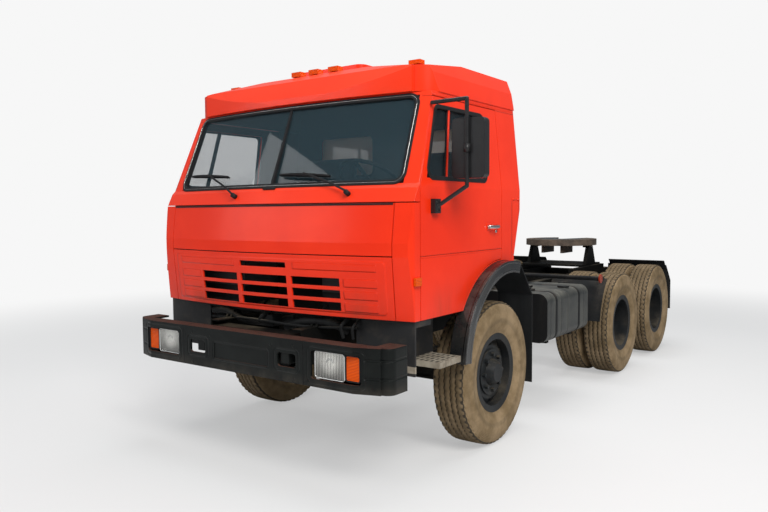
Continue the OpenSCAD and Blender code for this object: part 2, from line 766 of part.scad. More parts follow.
// bowed sheet of the windscreen, set back into the body at its foot
module screen_sheet() {
    sweep = 20;
    foot = bow_r - screen_foot;
    head = bow_r - screen_head;
    translate([0, bow_y, 0]) rotate([0, 0, -90 - sweep / 2]) rotate_extrude(angle = sweep, $fn = 256)
        polygon([[foot, 1880], [head, gutter_z], [head - screen_t, gutter_z], [foot - screen_t, 1880]]);
}

module cab_glass() {
    glass_gap = seat_gap;
    color("darkslateblue") placed() {
        intersection() {
            screen_sheet();
            along(-1400, -600) screen_outline(-glass_gap);
        }
        both_sides() along(cab_rear - 24, cab_rear - 16) soft_rect(205 + glass_gap, 2035 + glass_gap, 788 - glass_gap, 2370 - glass_gap, 40);
    }
}

// a slice of the cab's skin, wall thick
module skin() {
    difference() {
        cab_form(0);
        cab_form(wall);
    }
}

module front_lid() {
    color("red") placed() intersection() {
        difference() {
            cab_form(0);
            cab_form(24);
        }
        block(-panel_half, panel_half, -1400, -900, lid_bottom + seam, lid_top);
    }
}

slot_rows = [[1240, 1293], [1162, 1216], [1082, 1138]];

// grille panel under the lid, and the two corner panels beside it
module front_panels() {
    color("firebrick") placed() {
        difference() {
            intersection() {
                difference() {
                    cab_form(0);
                    cab_form(24);
                }
                block(-panel_half, panel_half, -1400, -900, cab_bottom, lid_bottom);
            }
            along(-1400, -900) {
                for (row = slot_rows) {
                    translate([-218, row[0]]) square([436, row[1] - row[0]]);
                    for (x = [-650, 258]) translate([x, row[0]]) square([392, row[1] - row[0]]);
                }
                translate([-218, 1346]) square([436, 36]);
            }
        }
        both_sides() block(980, 1000, -1135, bulkhead_y - seat_gap, 1100, 1400);
        both_sides() intersection() {
            skin();
            block(panel_half + seam, cab_w, -1400, bulkhead_y - seat_gap, cab_bottom, lid_top);
        }
    }
}

roof_edge_z = 2640;

// the roof cap: a crowned lid whose sides lean in, on the gutter
module roof() {
    color("tomato") placed() difference() {
        roof_form(0);
        roof_form(wall);
        block(-300, 300, -500, 0, gutter_z, crown_z + 99);
    }
}

// slope of the cap's shoulders, which fall towards the front corners
module roof_shoulders(inset) {
    shoulder = [1046, -798, 2643 - inset];
    intersection_for (s = [-1, 1]) translate([s * shoulder[0], shoulder[1], shoulder[2]])
        rotate([7.2, s * 6, 0]) translate([-4000, -4000, -900]) cube([8000, 8000, 900]);
}

module roof_form(inset) {
    half = gutter_w / 2 + 6 - inset;
    low_z = gutter_z - (inset > 0 ? 1 : 0);
    round_r = 130;
    front = -940 + inset;
    intersection() {
        along(-1000, cab_rear + 8 - inset) polygon([
            [-half, low_z], [half, low_z], [half - 22, 2600], [half - 60, roof_edge_z + 60 - inset],
            [half - 330, crown_z - 12 - inset], [0, crown_z - inset], [-half + 330, crown_z - 12 - inset],
            [-half + 60, roof_edge_z + 60 - inset], [-half + 22, 2600]]);
        across(-1300, 1300) polygon([
            [front, gutter_z - 2], [cab_rear + 8 - inset, gutter_z - 2], [cab_rear + 8 - inset, 2710 - inset],
            [200, crown_z - inset + 2], [-450, crown_z - inset + 2], [-700, 2712 - inset],
            [-850, 2650 - inset], [front + 10, 2520]]);
        translate([0, front + 6000, gutter_z - 3]) cylinder(h = 400, r = 6000, $fn = 360);
        upright(gutter_z - 3, crown_z + 9) {
            translate([-half, front + 102 + round_r]) square([2 * half, 1500]);
            translate([-half + round_r, front - 1]) square([2 * half - 2 * round_r, 1500]);
            for (s = [-1, 1]) translate([s * (half - round_r), front + 102 + round_r]) circle(round_r);
        }
        roof_shoulders(inset);
    }
}

module roof_hatch() {
    color("tomato") placed() upright(crown_z + seat_gap, crown_z + 46) soft_rect(-318, -518, 318, 18, 60);
}

// roof lamps and the side repeaters
module marker_lamps() {
    color("orange") placed() {
        for (x = [-170, 0, 186]) block(x - 45, x + 45, -690, -630, 2721.3, 2756);
        for (x = [-865, 865]) block(x - 45, x + 45, -660, -600, 2692.2, 2720);
        both_sides() block(cab_w / 2 + 0.3, cab_w / 2 + 18, -1125, -1062, 1262, 1312);
    }
}

flare_in = 605;
flare_gap = 0.3;

// wheel arch flares, fixed to the outer edge of the arches
module wings() {
    color("black") placed() both_sides() across(cab_w / 2 - wall + 4, flare_out)
        translate([arch_y, arch_z]) ring_sector(arch_r - 12 - flare_gap, arch_r - 12 - flare_in, 77, 176);
}

step_top = 765;
step_t = 40;
step_rear = arch_y - sqrt((arch_r - 12) * (arch_r - 12) - (step_top - step_t - arch_z) * (step_top - step_t - arch_z)) - flare_gap;

// entry step, hung in its housing under the front corner of the cab
module steps() {
    color("black") placed() both_sides() {
        block(975, 1205, -900, step_rear, step_top - step_t, step_top);
        block(700, 1150, -1100, -1085, step_top - 60, cab_bottom - seat_gap);
        block(700, 960, -1085, -612, step_top - 60, cab_bottom - seat_gap);
        block(975 - 15, 975, -900, -612, step_top - 60, cab_bottom - seat_gap);
        block(960, 1150, -1085, -915, cab_bottom - 40, cab_bottom - seat_gap);
    }
}

module dashboard() {
    color("dimgray") placed() difference() {
        block(-1060, 1060, bulkhead_y + bulkhead_t + seat_gap, -720, floor_z + 300, belt_z - 16);
        across(-1100, 1100) polygon([[-760, 1880], [-719, 1880], [-719, 1600]]);
    }
}

module seats() {
    color("dimgray") placed() for (x = [520, -520]) {
        block(x - 240, x + 240, -330, 180, 1420, 1560);
        block(x - 240, x + 240, 100, 220, 1560.3, 2180);
    }
    // pedestals between the engine tunnel and the wheel arches
    color("dimgray") placed() both_sides()
        block(tunnel_half + seat_gap, inner_arch_x - seat_gap, -250, 160, floor_z + seat_gap, 1420 - seat_gap);
}

wheel_rake = 35;

module steering_wheel() {
    color("black") placed() translate([480, -640, 1930]) rotate([-wheel_rake, 0, 0]) {
        rotate_extrude() translate([230, 0]) circle(14, $fn = 24);
        for (a = [0:90:270]) rotate([0, 0, a]) translate([0, -15, -8]) cube([225, 30, 12]);
        translate([0, 0, -149]) cylinder(h = 159, r = 32);
    }
}

module door(side) {
    color("red") placed() scale_side(side) difference() {
        intersection() {
            skin();
            across(cab_w / 2 - door_depth, cab_w / 2 + 1) door_outline(0);
        }
        across(cab_w / 2 - door_depth, cab_w / 2 + 1) window_outline(0);
    }
}

// the left side's piece, mirrored for the right
module scale_side(side) {
    if (side > 0) children();
    else mirror([1, 0, 0]) children();
}

module left_door() { door(1); }
module right_door() { door(-1); }

module door_glass(side) {
    color("darkslateblue") placed() scale_side(side) intersection() {
        difference() {
            cab_form(14);
            cab_form(20);
        }
        across(cab_w / 2 - door_depth, cab_w / 2 + 1) window_outline(-seat_gap);
    }
}

module left_door_glass() { door_glass(1); }
module right_door_glass() { door_glass(-1); }

mirror_w = 230;
arm_r = 13;

// mirror on its bowed tube, clipped to the left door above and below the window
module left_mirror() {
    x = mirror_reach - mirror_w / 2;
    color("black") placed() {
        block(cab_w / 2 + 0.3, cab_w / 2 + 34, -930, -865, 1700, 1790);
        hull() {
            translate([cab_w / 2 + 30, -895, 1746]) sphere(arm_r, $fn = 16);
            translate([x, -815, 1867]) sphere(arm_r, $fn = 16);
        }
        translate([x, -815, 1867]) cylinder(h = 533, r = arm_r);
        hull() {
            translate([x, -815, 2400]) sphere(arm_r, $fn = 16);
            translate([cab_side(2391) + arm_r + 2, -850, 2391]) sphere(arm_r, $fn = 16);
        }
        along(-801.7, -740) soft_rect(x - mirror_w / 2, 1915, x + mirror_w / 2, 2285, 30);
    }
}

// front pivots of the cab and its two rear rests
module cab_mounts() {
    color("dimgray") placed() both_sides() {
        for (x = [lug_x - 2 - 16, lug_x + lug_w + 2]) across(x, x + 16) polygon([
            [hinge_y - 60, frame_top], [hinge_y + 60, frame_top], [hinge_y + 22, hinge_z + 22], [hinge_y - 22, hinge_z + 22]]);
        rod_x(lug_x - 12, lug_x + lug_w + 12, hinge_y, hinge_z, cab_pin_r);
        block(frame_w / 2 - 60, frame_w / 2 - 2, 250, 330, frame_top, cab_bottom - 1);
    }
}

frame_rails();
crossmembers();
front_bumper();
headlamps();
indicators();
engine();
front_axle();
drive_axles();
leaf_springs();
propeller_shafts();
fuel_tank();
tank_brackets();
air_tanks();
battery_box();
silencer();
fifth_wheel_base();
fifth_wheel_plate();
mudguards();
cab_mounts();
cab_shell();
roof();
roof_hatch();
cab_glass();
front_lid();
front_panels();
wings();
steps();
dashboard();
seats();
steering_wheel();
marker_lamps();
left_door();
right_door();
left_door_glass();
right_door_glass();
left_mirror();
left_knuckle();
right_knuckle();
front_left_tyre();
front_right_tyre();
front_left_wheel();
front_right_wheel();
middle_left_tyres();
middle_right_tyres();
middle_left_wheels();
middle_right_wheels();
rear_left_tyres();
rear_right_tyres();
rear_left_wheels();
rear_right_wheels();
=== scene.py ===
import math

import bpy
import numpy as np
from mathutils import Euler, Matrix, Vector
from mathutils.bvhtree import BVHTree


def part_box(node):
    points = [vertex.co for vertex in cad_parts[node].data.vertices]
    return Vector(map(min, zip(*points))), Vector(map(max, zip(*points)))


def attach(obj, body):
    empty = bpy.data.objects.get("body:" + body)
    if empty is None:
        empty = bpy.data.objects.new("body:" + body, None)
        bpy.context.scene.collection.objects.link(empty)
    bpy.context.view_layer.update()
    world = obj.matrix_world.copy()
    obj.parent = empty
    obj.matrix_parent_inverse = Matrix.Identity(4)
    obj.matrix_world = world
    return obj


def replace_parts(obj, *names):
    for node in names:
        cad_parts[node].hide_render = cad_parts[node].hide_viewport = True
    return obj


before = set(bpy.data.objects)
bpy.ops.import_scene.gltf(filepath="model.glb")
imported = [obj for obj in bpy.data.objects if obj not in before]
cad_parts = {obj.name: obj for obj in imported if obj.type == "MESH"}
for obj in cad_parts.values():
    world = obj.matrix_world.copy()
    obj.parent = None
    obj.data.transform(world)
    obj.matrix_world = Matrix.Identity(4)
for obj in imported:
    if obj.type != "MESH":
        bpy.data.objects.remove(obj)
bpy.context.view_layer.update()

# ---- Camera, floor and light ---------------------------------------------------------------
# The view is from the truck's left front corner at eye height. The floor and backdrop are plain
# and pale, under a soft sky with one broad lamp over the viewer's shoulder.

MIDDLE = sum(c[0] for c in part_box("cab_shell")) / 2          # the truck's own middle, as X
AXLE = sum(c[1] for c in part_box("front_left_tyre")) / 2      # the front axle, as Y


def at(x, y, z):
    """A place given in metres from the truck's middle, its front axle and the ground."""
    return np.array([MIDDLE + x, AXLE + y, z])


camera = bpy.data.objects.new("camera", bpy.data.cameras.new("camera"))
bpy.context.collection.objects.link(camera)
bpy.context.scene.camera = camera
camera.data.sensor_width = 36
camera.data.lens = 33.12
camera.data.clip_end = 200
heading, tilt, roll = math.radians(35.79), math.radians(-3.58), math.radians(-0.43)
camera.matrix_world = (Matrix.Translation(at(3.483, -4.650, 1.712))
                       @ Euler((math.pi / 2 + tilt, 0, heading)).to_matrix().to_4x4()
                       @ Matrix.Rotation(roll, 4, "Z"))

bpy.context.scene.view_settings.view_transform = "Standard"


class Value:
    """A number on a shader socket. Arithmetic on it adds Math nodes to the same finish."""

    def __init__(self, finish, socket):
        self.finish = finish
        self.socket = socket

    def math(self, operation, *others):
        node = self.finish.tree.nodes.new("ShaderNodeMath")
        node.operation = operation
        for slot, value in zip(node.inputs, (self, *others)):
            self.finish.plug(slot, value)
        return Value(self.finish, node.outputs[0])

    def __add__(self, other):
        return self.math("ADD", other)

    def __radd__(self, other):
        return self.math("ADD", other)

    def __mul__(self, other):
        return self.math("MULTIPLY", other)

    def __rmul__(self, other):
        return self.math("MULTIPLY", other)

    def __sub__(self, other):
        return self.math("SUBTRACT", other)

    def __rsub__(self, other):
        return (self * -1.0).math("ADD", other)

    def __truediv__(self, other):
        return self.math("DIVIDE", other)

    def __abs__(self):
        return self.math("ABSOLUTE")

    def band(self, start, end):
        """0 at start and 1 at end, smooth between them and level outside."""
        return self.finish.node("MapRange", {"interpolation_type": "SMOOTHSTEP"},
                                {"Value": self, "From Min": start, "From Max": end})


class Finish:
    """A material made from one Principled surface. node() adds any node and returns one output."""

    def __init__(self, name, **fixed):
        self.material = bpy.data.materials.new(name)
        self.material.use_nodes = True
        self.tree = self.material.node_tree
        self.surface = self.tree.nodes["Principled BSDF"]
        self.set(**fixed)

    def plug(self, slot, value):
        if isinstance(value, Value):
            self.tree.links.new(value.socket, slot)
        elif hasattr(value, "__len__") and len(value) == 3 and len(slot.default_value) == 4:
            slot.default_value = (*value, 1.0)
        else:
            slot.default_value = value

    def node(self, kind, settings=None, inputs=None, output=0):
        node = self.tree.nodes.new("ShaderNode" + kind)
        for key, value in (settings or {}).items():
            setattr(node, key, value)
        for key, value in (inputs or {}).items():
            self.plug(node.inputs[key], value)
        return Value(self, node.outputs[output])

    def set(self, **inputs):
        for key, value in inputs.items():
            self.plug(self.surface.inputs[key.replace("_", " ")], value)
        return self

    def place(self):
        """The point on the object, in the row frame."""
        return self.node("TexCoord", output="Object")

    def axis(self, vector, letter):
        return self.node("SeparateXYZ", inputs={"Vector": vector}, output=letter)

    def noise(self, scale, detail=4.0, rough=0.55, stretch=(1, 1, 1), where=None):
        """Cloudy noise from 0 to 1 with about scale lumps a metre."""
        where = self.node("Mapping", inputs={"Vector": where or self.place(), "Scale": stretch})
        return self.node("TexNoise", inputs={"Vector": where, "Scale": scale, "Detail": detail,
                                             "Roughness": rough}, output="Fac")

    def mix(self, share, first, second):
        """first where share is 0 and second where it is 1; both are colours."""
        node = self.tree.nodes.new("ShaderNodeMix")
        node.data_type = "RGBA"
        self.plug(node.inputs["Factor"], share)
        for slot, value in ((node.inputs[6], first), (node.inputs[7], second)):
            self.plug(slot, value)
        return Value(self, node.outputs[2])

    def truck(self):
        """x from the truck's middle, y from its front axle and z from the ground."""
        spot = self.place()
        return self.axis(spot, "X") - MIDDLE, self.axis(spot, "Y") - AXLE, self.axis(spot, "Z")

    def facing_up(self):
        """1 where the surface faces the sky, 0 on walls and below."""
        normal = self.node("NewGeometry", output="Normal")
        return self.axis(normal, "Z").band(0.15, 0.9)

    def relief(self, height, depth, edge=0.0):
        """Bump of that depth in metres; edge rounds sharp corners by that radius."""
        inputs = {"Height": height, "Strength": 1.0, "Distance": depth}
        if edge:
            inputs["Normal"] = self.node("Bevel", {"samples": 4}, {"Radius": edge})
        self.set(Normal=self.node("Bump", inputs=inputs))
        return self


def mesh_piece(name, vertices, faces, finish, smooth=True, uv=None):
    """An object at the origin whose mesh is given in the row frame; uv is one pair a vertex."""
    mesh = bpy.data.meshes.new(name)
    mesh.from_pydata(np.asarray(vertices, float).tolist(), [], [list(map(int, f)) for f in faces])
    mesh.shade_smooth() if smooth else mesh.shade_flat()
    if uv is not None:
        layer = mesh.uv_layers.new(name="map")
        corners = np.empty(len(mesh.loops), dtype=int)
        mesh.loops.foreach_get("vertex_index", corners)
        layer.data.foreach_set("uv", np.asarray(uv, float)[corners].ravel())
    mesh.materials.append(finish.material)
    mesh.validate()
    piece = bpy.data.objects.new(name, mesh)
    bpy.context.collection.objects.link(piece)
    return piece


floor_finish = Finish("studio_floor", Roughness=0.9)
place = floor_finish.place()
across, along = floor_finish.axis(place, "X"), floor_finish.axis(place, "Y")
far = (across * across + along * along).math("SQRT").band(4.5, 11.0)
hazy = (far * 0.55 + 0.45) * floor_finish.node("LightPath", output="Is Camera Ray")
cloudy = floor_finish.mix(floor_finish.noise(0.6), (0.66, 0.66, 0.66), (0.69, 0.69, 0.69))
floor_finish.set(Base_Color=floor_finish.mix(hazy, cloudy, (0.0, 0.0, 0.0)), Specular_IOR_Level=0.0,
                 Emission_Color=floor_finish.mix(hazy, (0.0, 0.0, 0.0), (0.93, 0.93, 0.93)),
                 Emission_Strength=1.0)
reach = 60.0
floor = mesh_piece("floor", [(-reach, -reach, 0), (reach, -reach, 0), (reach, reach, 0), (-reach, reach, 0)],
                   [(0, 1, 2, 3)], floor_finish, smooth=False)

world = bpy.data.worlds.new("studio")
bpy.context.scene.world = world
world.use_nodes = True
sky = world.node_tree
path = sky.nodes.new("ShaderNodeLightPath")
seen = sky.nodes.new("ShaderNodeMath")
seen.operation = "MAXIMUM"
sky.links.new(path.outputs["Is Camera Ray"], seen.inputs[0])
sky.links.new(path.outputs["Is Transmission Ray"], seen.inputs[1])
choice = sky.nodes.new("ShaderNodeMix")
choice.data_type = "RGBA"
sky.links.new(seen.outputs[0], choice.inputs["Factor"])
choice.inputs[6].default_value = (0.24, 0.26, 0.28, 1)
choice.inputs[7].default_value = (0.93, 0.93, 0.93, 1)
sky.links.new(choice.outputs[2], sky.nodes["Background"].inputs["Color"])


def lamp(name, place, aim, size, power, colour=(1, 1, 1)):
    """A square lamp that faces the point aim."""
    data = bpy.data.lights.new(name, "AREA")
    data.size = size
    data.energy = power
    data.color = colour
    light = bpy.data.objects.new(name, data)
    bpy.context.collection.objects.link(light)
    away = np.asarray(place) - np.asarray(aim)
    yaw = math.atan2(away[0], -away[1])
    pitch = math.atan2(math.hypot(away[0], away[1]), away[2])
    light.matrix_world = Matrix.Translation(place) @ Euler((pitch, 0, yaw)).to_matrix().to_4x4()


lamp("key", at(7.5, -5.5, 8.5), at(0, 0, 1.0), 5.0, 1150, (1.0, 0.98, 0.95))
lamp("fill", at(-6.0, -8.0, 5.0), at(0, 0, 1.2), 6.0, 200)
lamp("top", at(0.5, 2.0, 9.0), at(0, 1.0, 1.0), 7.0, 520)


def repaint(finish, *nodes):
    """CAD nodes take this finish."""
    for name in nodes:
        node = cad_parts[name]
        node.data.materials.clear()
        node.data.materials.append(finish.material)


def add(piece, body):
    """The piece rides on a CAD body."""
    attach(piece, body)
    return piece

# ---- Frame, axles and springs --------------------------------------------------------------
# Pressed steel rails and members, forged front axle, cast drive axles and leaf springs, all
# brushed over with black chassis paint, now dull and caked with pale road dust on what lies flat.


def dusty(name, colour, dust=(0.20, 0.165, 0.12), cover=0.45, rough=0.62, metal=0.0, edge=0.004):
    """Dull paint under dust that lies thickest on level faces and low down, and thins in streaks."""
    finish = Finish(name, Metallic=metal, Specular_IOR_Level=0.12)
    height = finish.axis(finish.place(), "Z")
    clouds = finish.noise(3.0, 6.0, 0.6)
    grains = finish.noise(70.0, 3.0, 0.7)
    streaks = finish.noise(9.0, 4.0, 0.6, stretch=(1, 1, 0.12))
    low_down = 1.0 - height.band(0.3, 1.4)
    share = (finish.facing_up() * 0.75 + low_down * 0.35 + streaks * 0.35) * clouds.band(0.25, 0.75)
    share = (share * cover * 1.6 + (grains - 0.5) * 0.25).band(0.05, 0.95)
    worn = finish.mix(streaks.band(0.3, 0.7), tuple(c * 0.8 for c in colour), tuple(c * 1.25 for c in colour))
    finish.set(Base_Color=finish.mix(share, worn, dust), Roughness=share * 0.3 + rough)
    return finish.relief(grains * 0.4 + clouds * 0.6, 0.0015, edge)


chassis_black = dusty("chassis_paint", (0.0035, 0.0036, 0.0033), dust=(0.085, 0.068, 0.046), cover=0.4)
repaint(chassis_black, "frame_rails", "crossmembers", "front_axle", "drive_axles", "leaf_springs",
        "propeller_shafts", "cab_mounts", "left_knuckle", "right_knuckle", "fifth_wheel_base", "tank_brackets")
engine_paint = dusty("engine_iron", (0.006, 0.006, 0.005), dust=(0.060, 0.048, 0.032), cover=0.4, rough=0.8)
repaint(engine_paint, "engine")

# ---- Tyres ---------------------------------------------------------------------------------
# Road tyres with five ribs, zigzag grooves and notched shoulders. The rubber is coated in dry tan dust on its
# walls; the groove floors are painted dark as shade.

TYRE_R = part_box("front_left_tyre")[1][2] / 2
TYRE_HALF = (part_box("front_left_tyre")[1][0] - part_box("front_left_tyre")[0][0]) / 2
RIM_LIP_R = 0.292
STEPS = 360                          # columns of the mesh round the tyre
GROOVES = (-0.066, -0.023, 0.023, 0.066)


def smooth_line(points, count):
    """Catmull-Rom curve through the points: each span is the cubic whose end slopes are half the
    difference of the neighbouring points. count points a span."""
    p = np.asarray(points, float)
    ends = np.vstack([2 * p[0] - p[1], p, 2 * p[-1] - p[-2]])
    t = np.linspace(0, 1, count, endpoint=False)[:, None]
    spans = []
    for a, b, c, d in zip(ends, ends[1:], ends[2:], ends[3:]):
        spans.append(b + t / 2 * ((c - a) + t * ((2 * a - 5 * b + 4 * c - d) + t * (3 * (b - c) + d - a))))
    return np.vstack([*spans, p[-1:]])


def ring_faces(columns, rows):
    """Quads of a grid closed round its columns; vertex (column, row) is column * rows + row."""
    i, j = np.meshgrid(np.arange(columns), np.arange(rows - 1), indexing="ij")
    k = (i + 1) % columns
    return np.stack([i * rows + j, i * rows + j + 1, k * rows + j + 1, k * rows + j], -1).reshape(-1, 4)


def tyre_section():
    """Half of the section as (x, radius), from the rim's lip up the wall to the tread's edge."""
    wall = smooth_line([(0.096, RIM_LIP_R - 0.022), (0.106, RIM_LIP_R - 0.004), (0.109, RIM_LIP_R + 0.010),
                        (0.122, 0.335), (TYRE_HALF - 0.001, 0.395), (TYRE_HALF - 0.004, 0.450),
                        (0.127, 0.487), (0.120, 0.503)], 4)
    shoulder = [(0.1165, 0.510), (0.112, TYRE_R - 0.008), (0.106, TYRE_R - 0.004), (0.098, TYRE_R - 0.002)]
    return np.vstack([wall, shoulder])


def tyre_mesh():
    """Vertices, faces and uv of one tyre round the X axis.

    The section is turned through angle a. Tread columns shift sideways by a triangle wave of
    4.5 mm, 72 waves round, groove floors lie 12 mm deep, and shoulder rows dip 7 mm in every
    notch, 60 round. uv holds the share of a turn and the radius as a share of the tyre's."""
    half = tyre_section()
    tread = [(0.098, 0.0)]
    for g in sorted(GROOVES, reverse=True):
        tread += [(g + 0.0055, 0.0), (g + 0.0035, 0.012), (g - 0.0035, 0.012), (g - 0.0055, 0.0)]
    tread += [(-0.098, 0.0)]
    tread = np.array(tread)[1:-1]
    x = np.concatenate([half[:, 0], tread[:, 0], -half[::-1, 0]])
    r = np.concatenate([half[:, 1], TYRE_R - tread[:, 1] - (tread[:, 0] ** 2) * 0.15, half[::-1, 1]])
    rows = len(x)
    sunk = np.zeros(rows)
    shoulder = (np.abs(x) > 0.097) & (np.abs(x) < 0.121) & (r > 0.502)
    sunk[shoulder] = 1
    in_tread = np.abs(x) < 0.090
    angle = np.arange(STEPS) * 2 * math.pi / STEPS
    wave = np.abs((angle * 72 / (2 * math.pi)) % 1 - 0.5) * 4 - 1
    notch = ((angle * 60 / (2 * math.pi)) % 1 < 0.34) * 0.007
    xx = x[None, :] + wave[:, None] * 0.0045 * in_tread[None, :]
    rr = r[None, :] - notch[:, None] * sunk[None, :]
    vertices = np.stack([xx, rr * np.cos(angle)[:, None], rr * np.sin(angle)[:, None]], -1).reshape(-1, 3)
    uv = np.stack(np.broadcast_arrays(angle[:, None] / (2 * math.pi), rr / TYRE_R), -1).reshape(-1, 2)
    return vertices, ring_faces(STEPS, rows)[:, ::-1], uv


def tyre_finish():
    """Rubber under dust: the groove floors are painted dark as shade, the foot of the wall stays dark, rings
    stand on the wall.
    """
    finish = Finish("tyre", Specular_IOR_Level=0.25, Sheen_Weight=0.0)
    radius = finish.axis(finish.node("UVMap"), "Y") * TYRE_R
    clouds = finish.noise(5.0, 6.0, 0.65)
    smears = finish.noise(16.0, 5.0, 0.6)
    # Painted shade: the groove floors take the dark rubber colour.
    groove = 1.0 - radius.band(TYRE_R - 0.0125, TYRE_R - 0.006)
    on_tread = radius.band(TYRE_R - 0.02, TYRE_R - 0.014)
    foot = 1.0 - radius.band(0.30, 0.345)
    rub = radius.band(0.355, 0.375) * (1.0 - radius.band(0.385, 0.42))
    dust = finish.mix(clouds.band(0.3, 0.7), (0.165, 0.113, 0.056), (0.315, 0.225, 0.130))
    rubber = finish.mix(smears, (0.022, 0.018, 0.013), (0.060, 0.046, 0.030))
    bare_and_groove_shade = groove * on_tread * 0.9 + on_tread * 0.42 + foot * 0.15 + rub * 0.30
    bare_and_groove_shade = (bare_and_groove_shade + smears.band(0.52, 0.8) * 0.28).band(0.02, 0.98)
    finish.set(Base_Color=finish.mix(bare_and_groove_shade, dust, rubber), Roughness=0.92 - bare_and_groove_shade * 0.2)
    rings = (radius * 620.0).math("SINE") * radius.band(0.440, 0.455) * (1.0 - radius.band(0.488, 0.500))
    lip = (radius * 900.0).math("SINE") * (1.0 - radius.band(0.318, 0.330)) * 0.6
    return finish.relief(rings * 0.5 + lip * 0.5 + finish.noise(120.0, 3.0) * 0.35 + smears * 0.3, 0.0022)


tyre_dust = tyre_finish()
TYRE_VERTICES, TYRE_FACES, TYRE_UV = tyre_mesh()
for row in ("front", "middle", "rear"):
    for side in ("left", "right"):
        node = f"{row}_{side}_tyre" + ("" if row == "front" else "s")
        node_low, node_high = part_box(node)
        centre_y, centre_z = (node_low[1] + node_high[1]) / 2, (node_low[2] + node_high[2]) / 2
        places = {node_low[0] + TYRE_HALF, node_high[0] - TYRE_HALF}
        if row == "front":
            places = {(node_low[0] + node_high[0]) / 2}
        stack = [TYRE_VERTICES + (x, centre_y, centre_z) for x in sorted(places)]
        faces = np.vstack([TYRE_FACES + i * len(TYRE_VERTICES) for i in range(len(stack))])
        uv = np.vstack([TYRE_UV] * len(stack))
        tyres = mesh_piece(node + "_treaded", np.vstack(stack), faces, tyre_dust, uv=uv)
        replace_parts(add(tyres, f"{row}_{side}_wheel"), node)

# ---- Wheels --------------------------------------------------------------------------------
# Pressed steel discs on rolled rims, painted dark grey, with the hub, its cap and the nuts
# standing out of the front ones. Dust lies in the bowls of the rear ones.

wheel_grey = dusty("wheel_paint", (0.013, 0.015, 0.017), dust=(0.13, 0.108, 0.078),
                   cover=0.36, rough=0.45, edge=0.003)
repaint(wheel_grey, *[f"{row}_{side}_wheel{'' if row == 'front' else 's'}"
                      for row in ("front", "middle", "rear") for side in ("left", "right")])


def turned(profile, steps=48):
    """A closed ring round X: each (x, radius) of the profile is turned through steps angles."""
    p = np.asarray(profile, float)
    a = np.arange(steps) * 2 * math.pi / steps
    v = np.stack([np.broadcast_to(p[:, 0], (steps, len(p))), p[:, 1] * np.cos(a)[:, None],
                  p[:, 1] * np.sin(a)[:, None]], -1).reshape(-1, 3)
    return v, ring_faces(steps, len(p))[:, ::-1]


def joined(parts):
    """One vertex array and face list from many (vertices, faces) pairs."""
    vertices, faces, start = [], [], 0
    for v, f in parts:
        vertices.append(v)
        faces += [[int(i) + start for i in face] for face in f]
        start += len(v)
    return np.vstack(vertices), faces


def sweep(points, section, normals=None, closed=False):
    """Carries a closed section along a line of points and gives (vertices, faces).

    With t the line's direction and n the normal at a point, the section's (a, b) lands at
    point + a * (t x n) + b * n. Open lines are closed by a face at each end."""
    p = np.asarray(points, float)
    t = np.roll(p, -1, 0) - np.roll(p, 1, 0)
    if not closed:
        t[0], t[-1] = p[1] - p[0], p[-1] - p[-2]
    t /= np.linalg.norm(t, axis=1)[:, None]
    n = np.broadcast_to(normals if normals is not None else (0.31, 0.52, 0.79), p.shape)
    n = n - (n * t).sum(1)[:, None] * t
    n = n / np.linalg.norm(n, axis=1)[:, None]
    s = np.asarray(section, float)
    v = (p[:, None] + s[None, :, :1] * np.cross(t, n)[:, None] + s[None, :, 1:] * n[:, None]).reshape(-1, 3)
    count, k = len(p), len(s)
    rows = np.arange(count if closed else count - 1)[:, None]
    j = np.arange(k)[None, :]
    after, beside = (rows + 1) % count, (j + 1) % k
    corners = (rows * k + j, rows * k + beside, after * k + beside, after * k + j)
    quads = np.stack(np.broadcast_arrays(*corners), -1)
    faces = quads.reshape(-1, 4)[:, ::-1].tolist()
    if not closed:
        faces += [list(range(k)), [(count - 1) * k + i for i in range(k)][::-1]]
    return v, faces


def round_section(radius, sides=12):
    """A circle of that radius."""
    a = np.arange(sides) * 2 * math.pi / sides
    return np.stack([radius * np.cos(a), radius * np.sin(a)], -1)


def flat_section(width, height, base=0.0, corner=0.3):
    """A strip of that width that stands height above base, its upper corners cut by a share."""
    w, c = width / 2, corner * height
    return np.array([(-w, base), (w, base), (w, height - c), (w - c, height), (-w + c, height),
                     (-w, height - c)])


def curve(points, count=10):
    """Smooth line through places given as at() takes them."""
    return smooth_line([at(*p) for p in points], count)


def rounded(corners, radius, step=0.02):
    """Closed outline in a plane: straight edges of the polygon joined by arcs of that radius.

    Each corner is left at distance radius / tan(half its angle), and the arc is swept between."""
    c = np.asarray(corners, float)
    out = []
    for before, here, after in zip(np.roll(c, 1, 0), c, np.roll(c, -1, 0)):
        a, b = (before - here) / np.linalg.norm(before - here), (after - here) / np.linalg.norm(after - here)
        half = math.acos(np.clip(a @ b, -1, 1)) / 2
        start, end = here + a * radius / math.tan(half), here + b * radius / math.tan(half)
        middle = here + (a + b) / np.linalg.norm(a + b) * radius / math.sin(half)
        for share in np.linspace(0, 1, 9):
            way = (start - middle) * (1 - share) + (end - middle) * share
            out.append(middle + way / np.linalg.norm(way) * radius)
    out = np.array(out)
    line = []
    for a, b in zip(out, np.roll(out, -1, 0)):
        count = max(1, int(np.linalg.norm(b - a) / step))
        line.append(a + (b - a) * np.arange(count)[:, None] / count)
    return np.vstack(line)


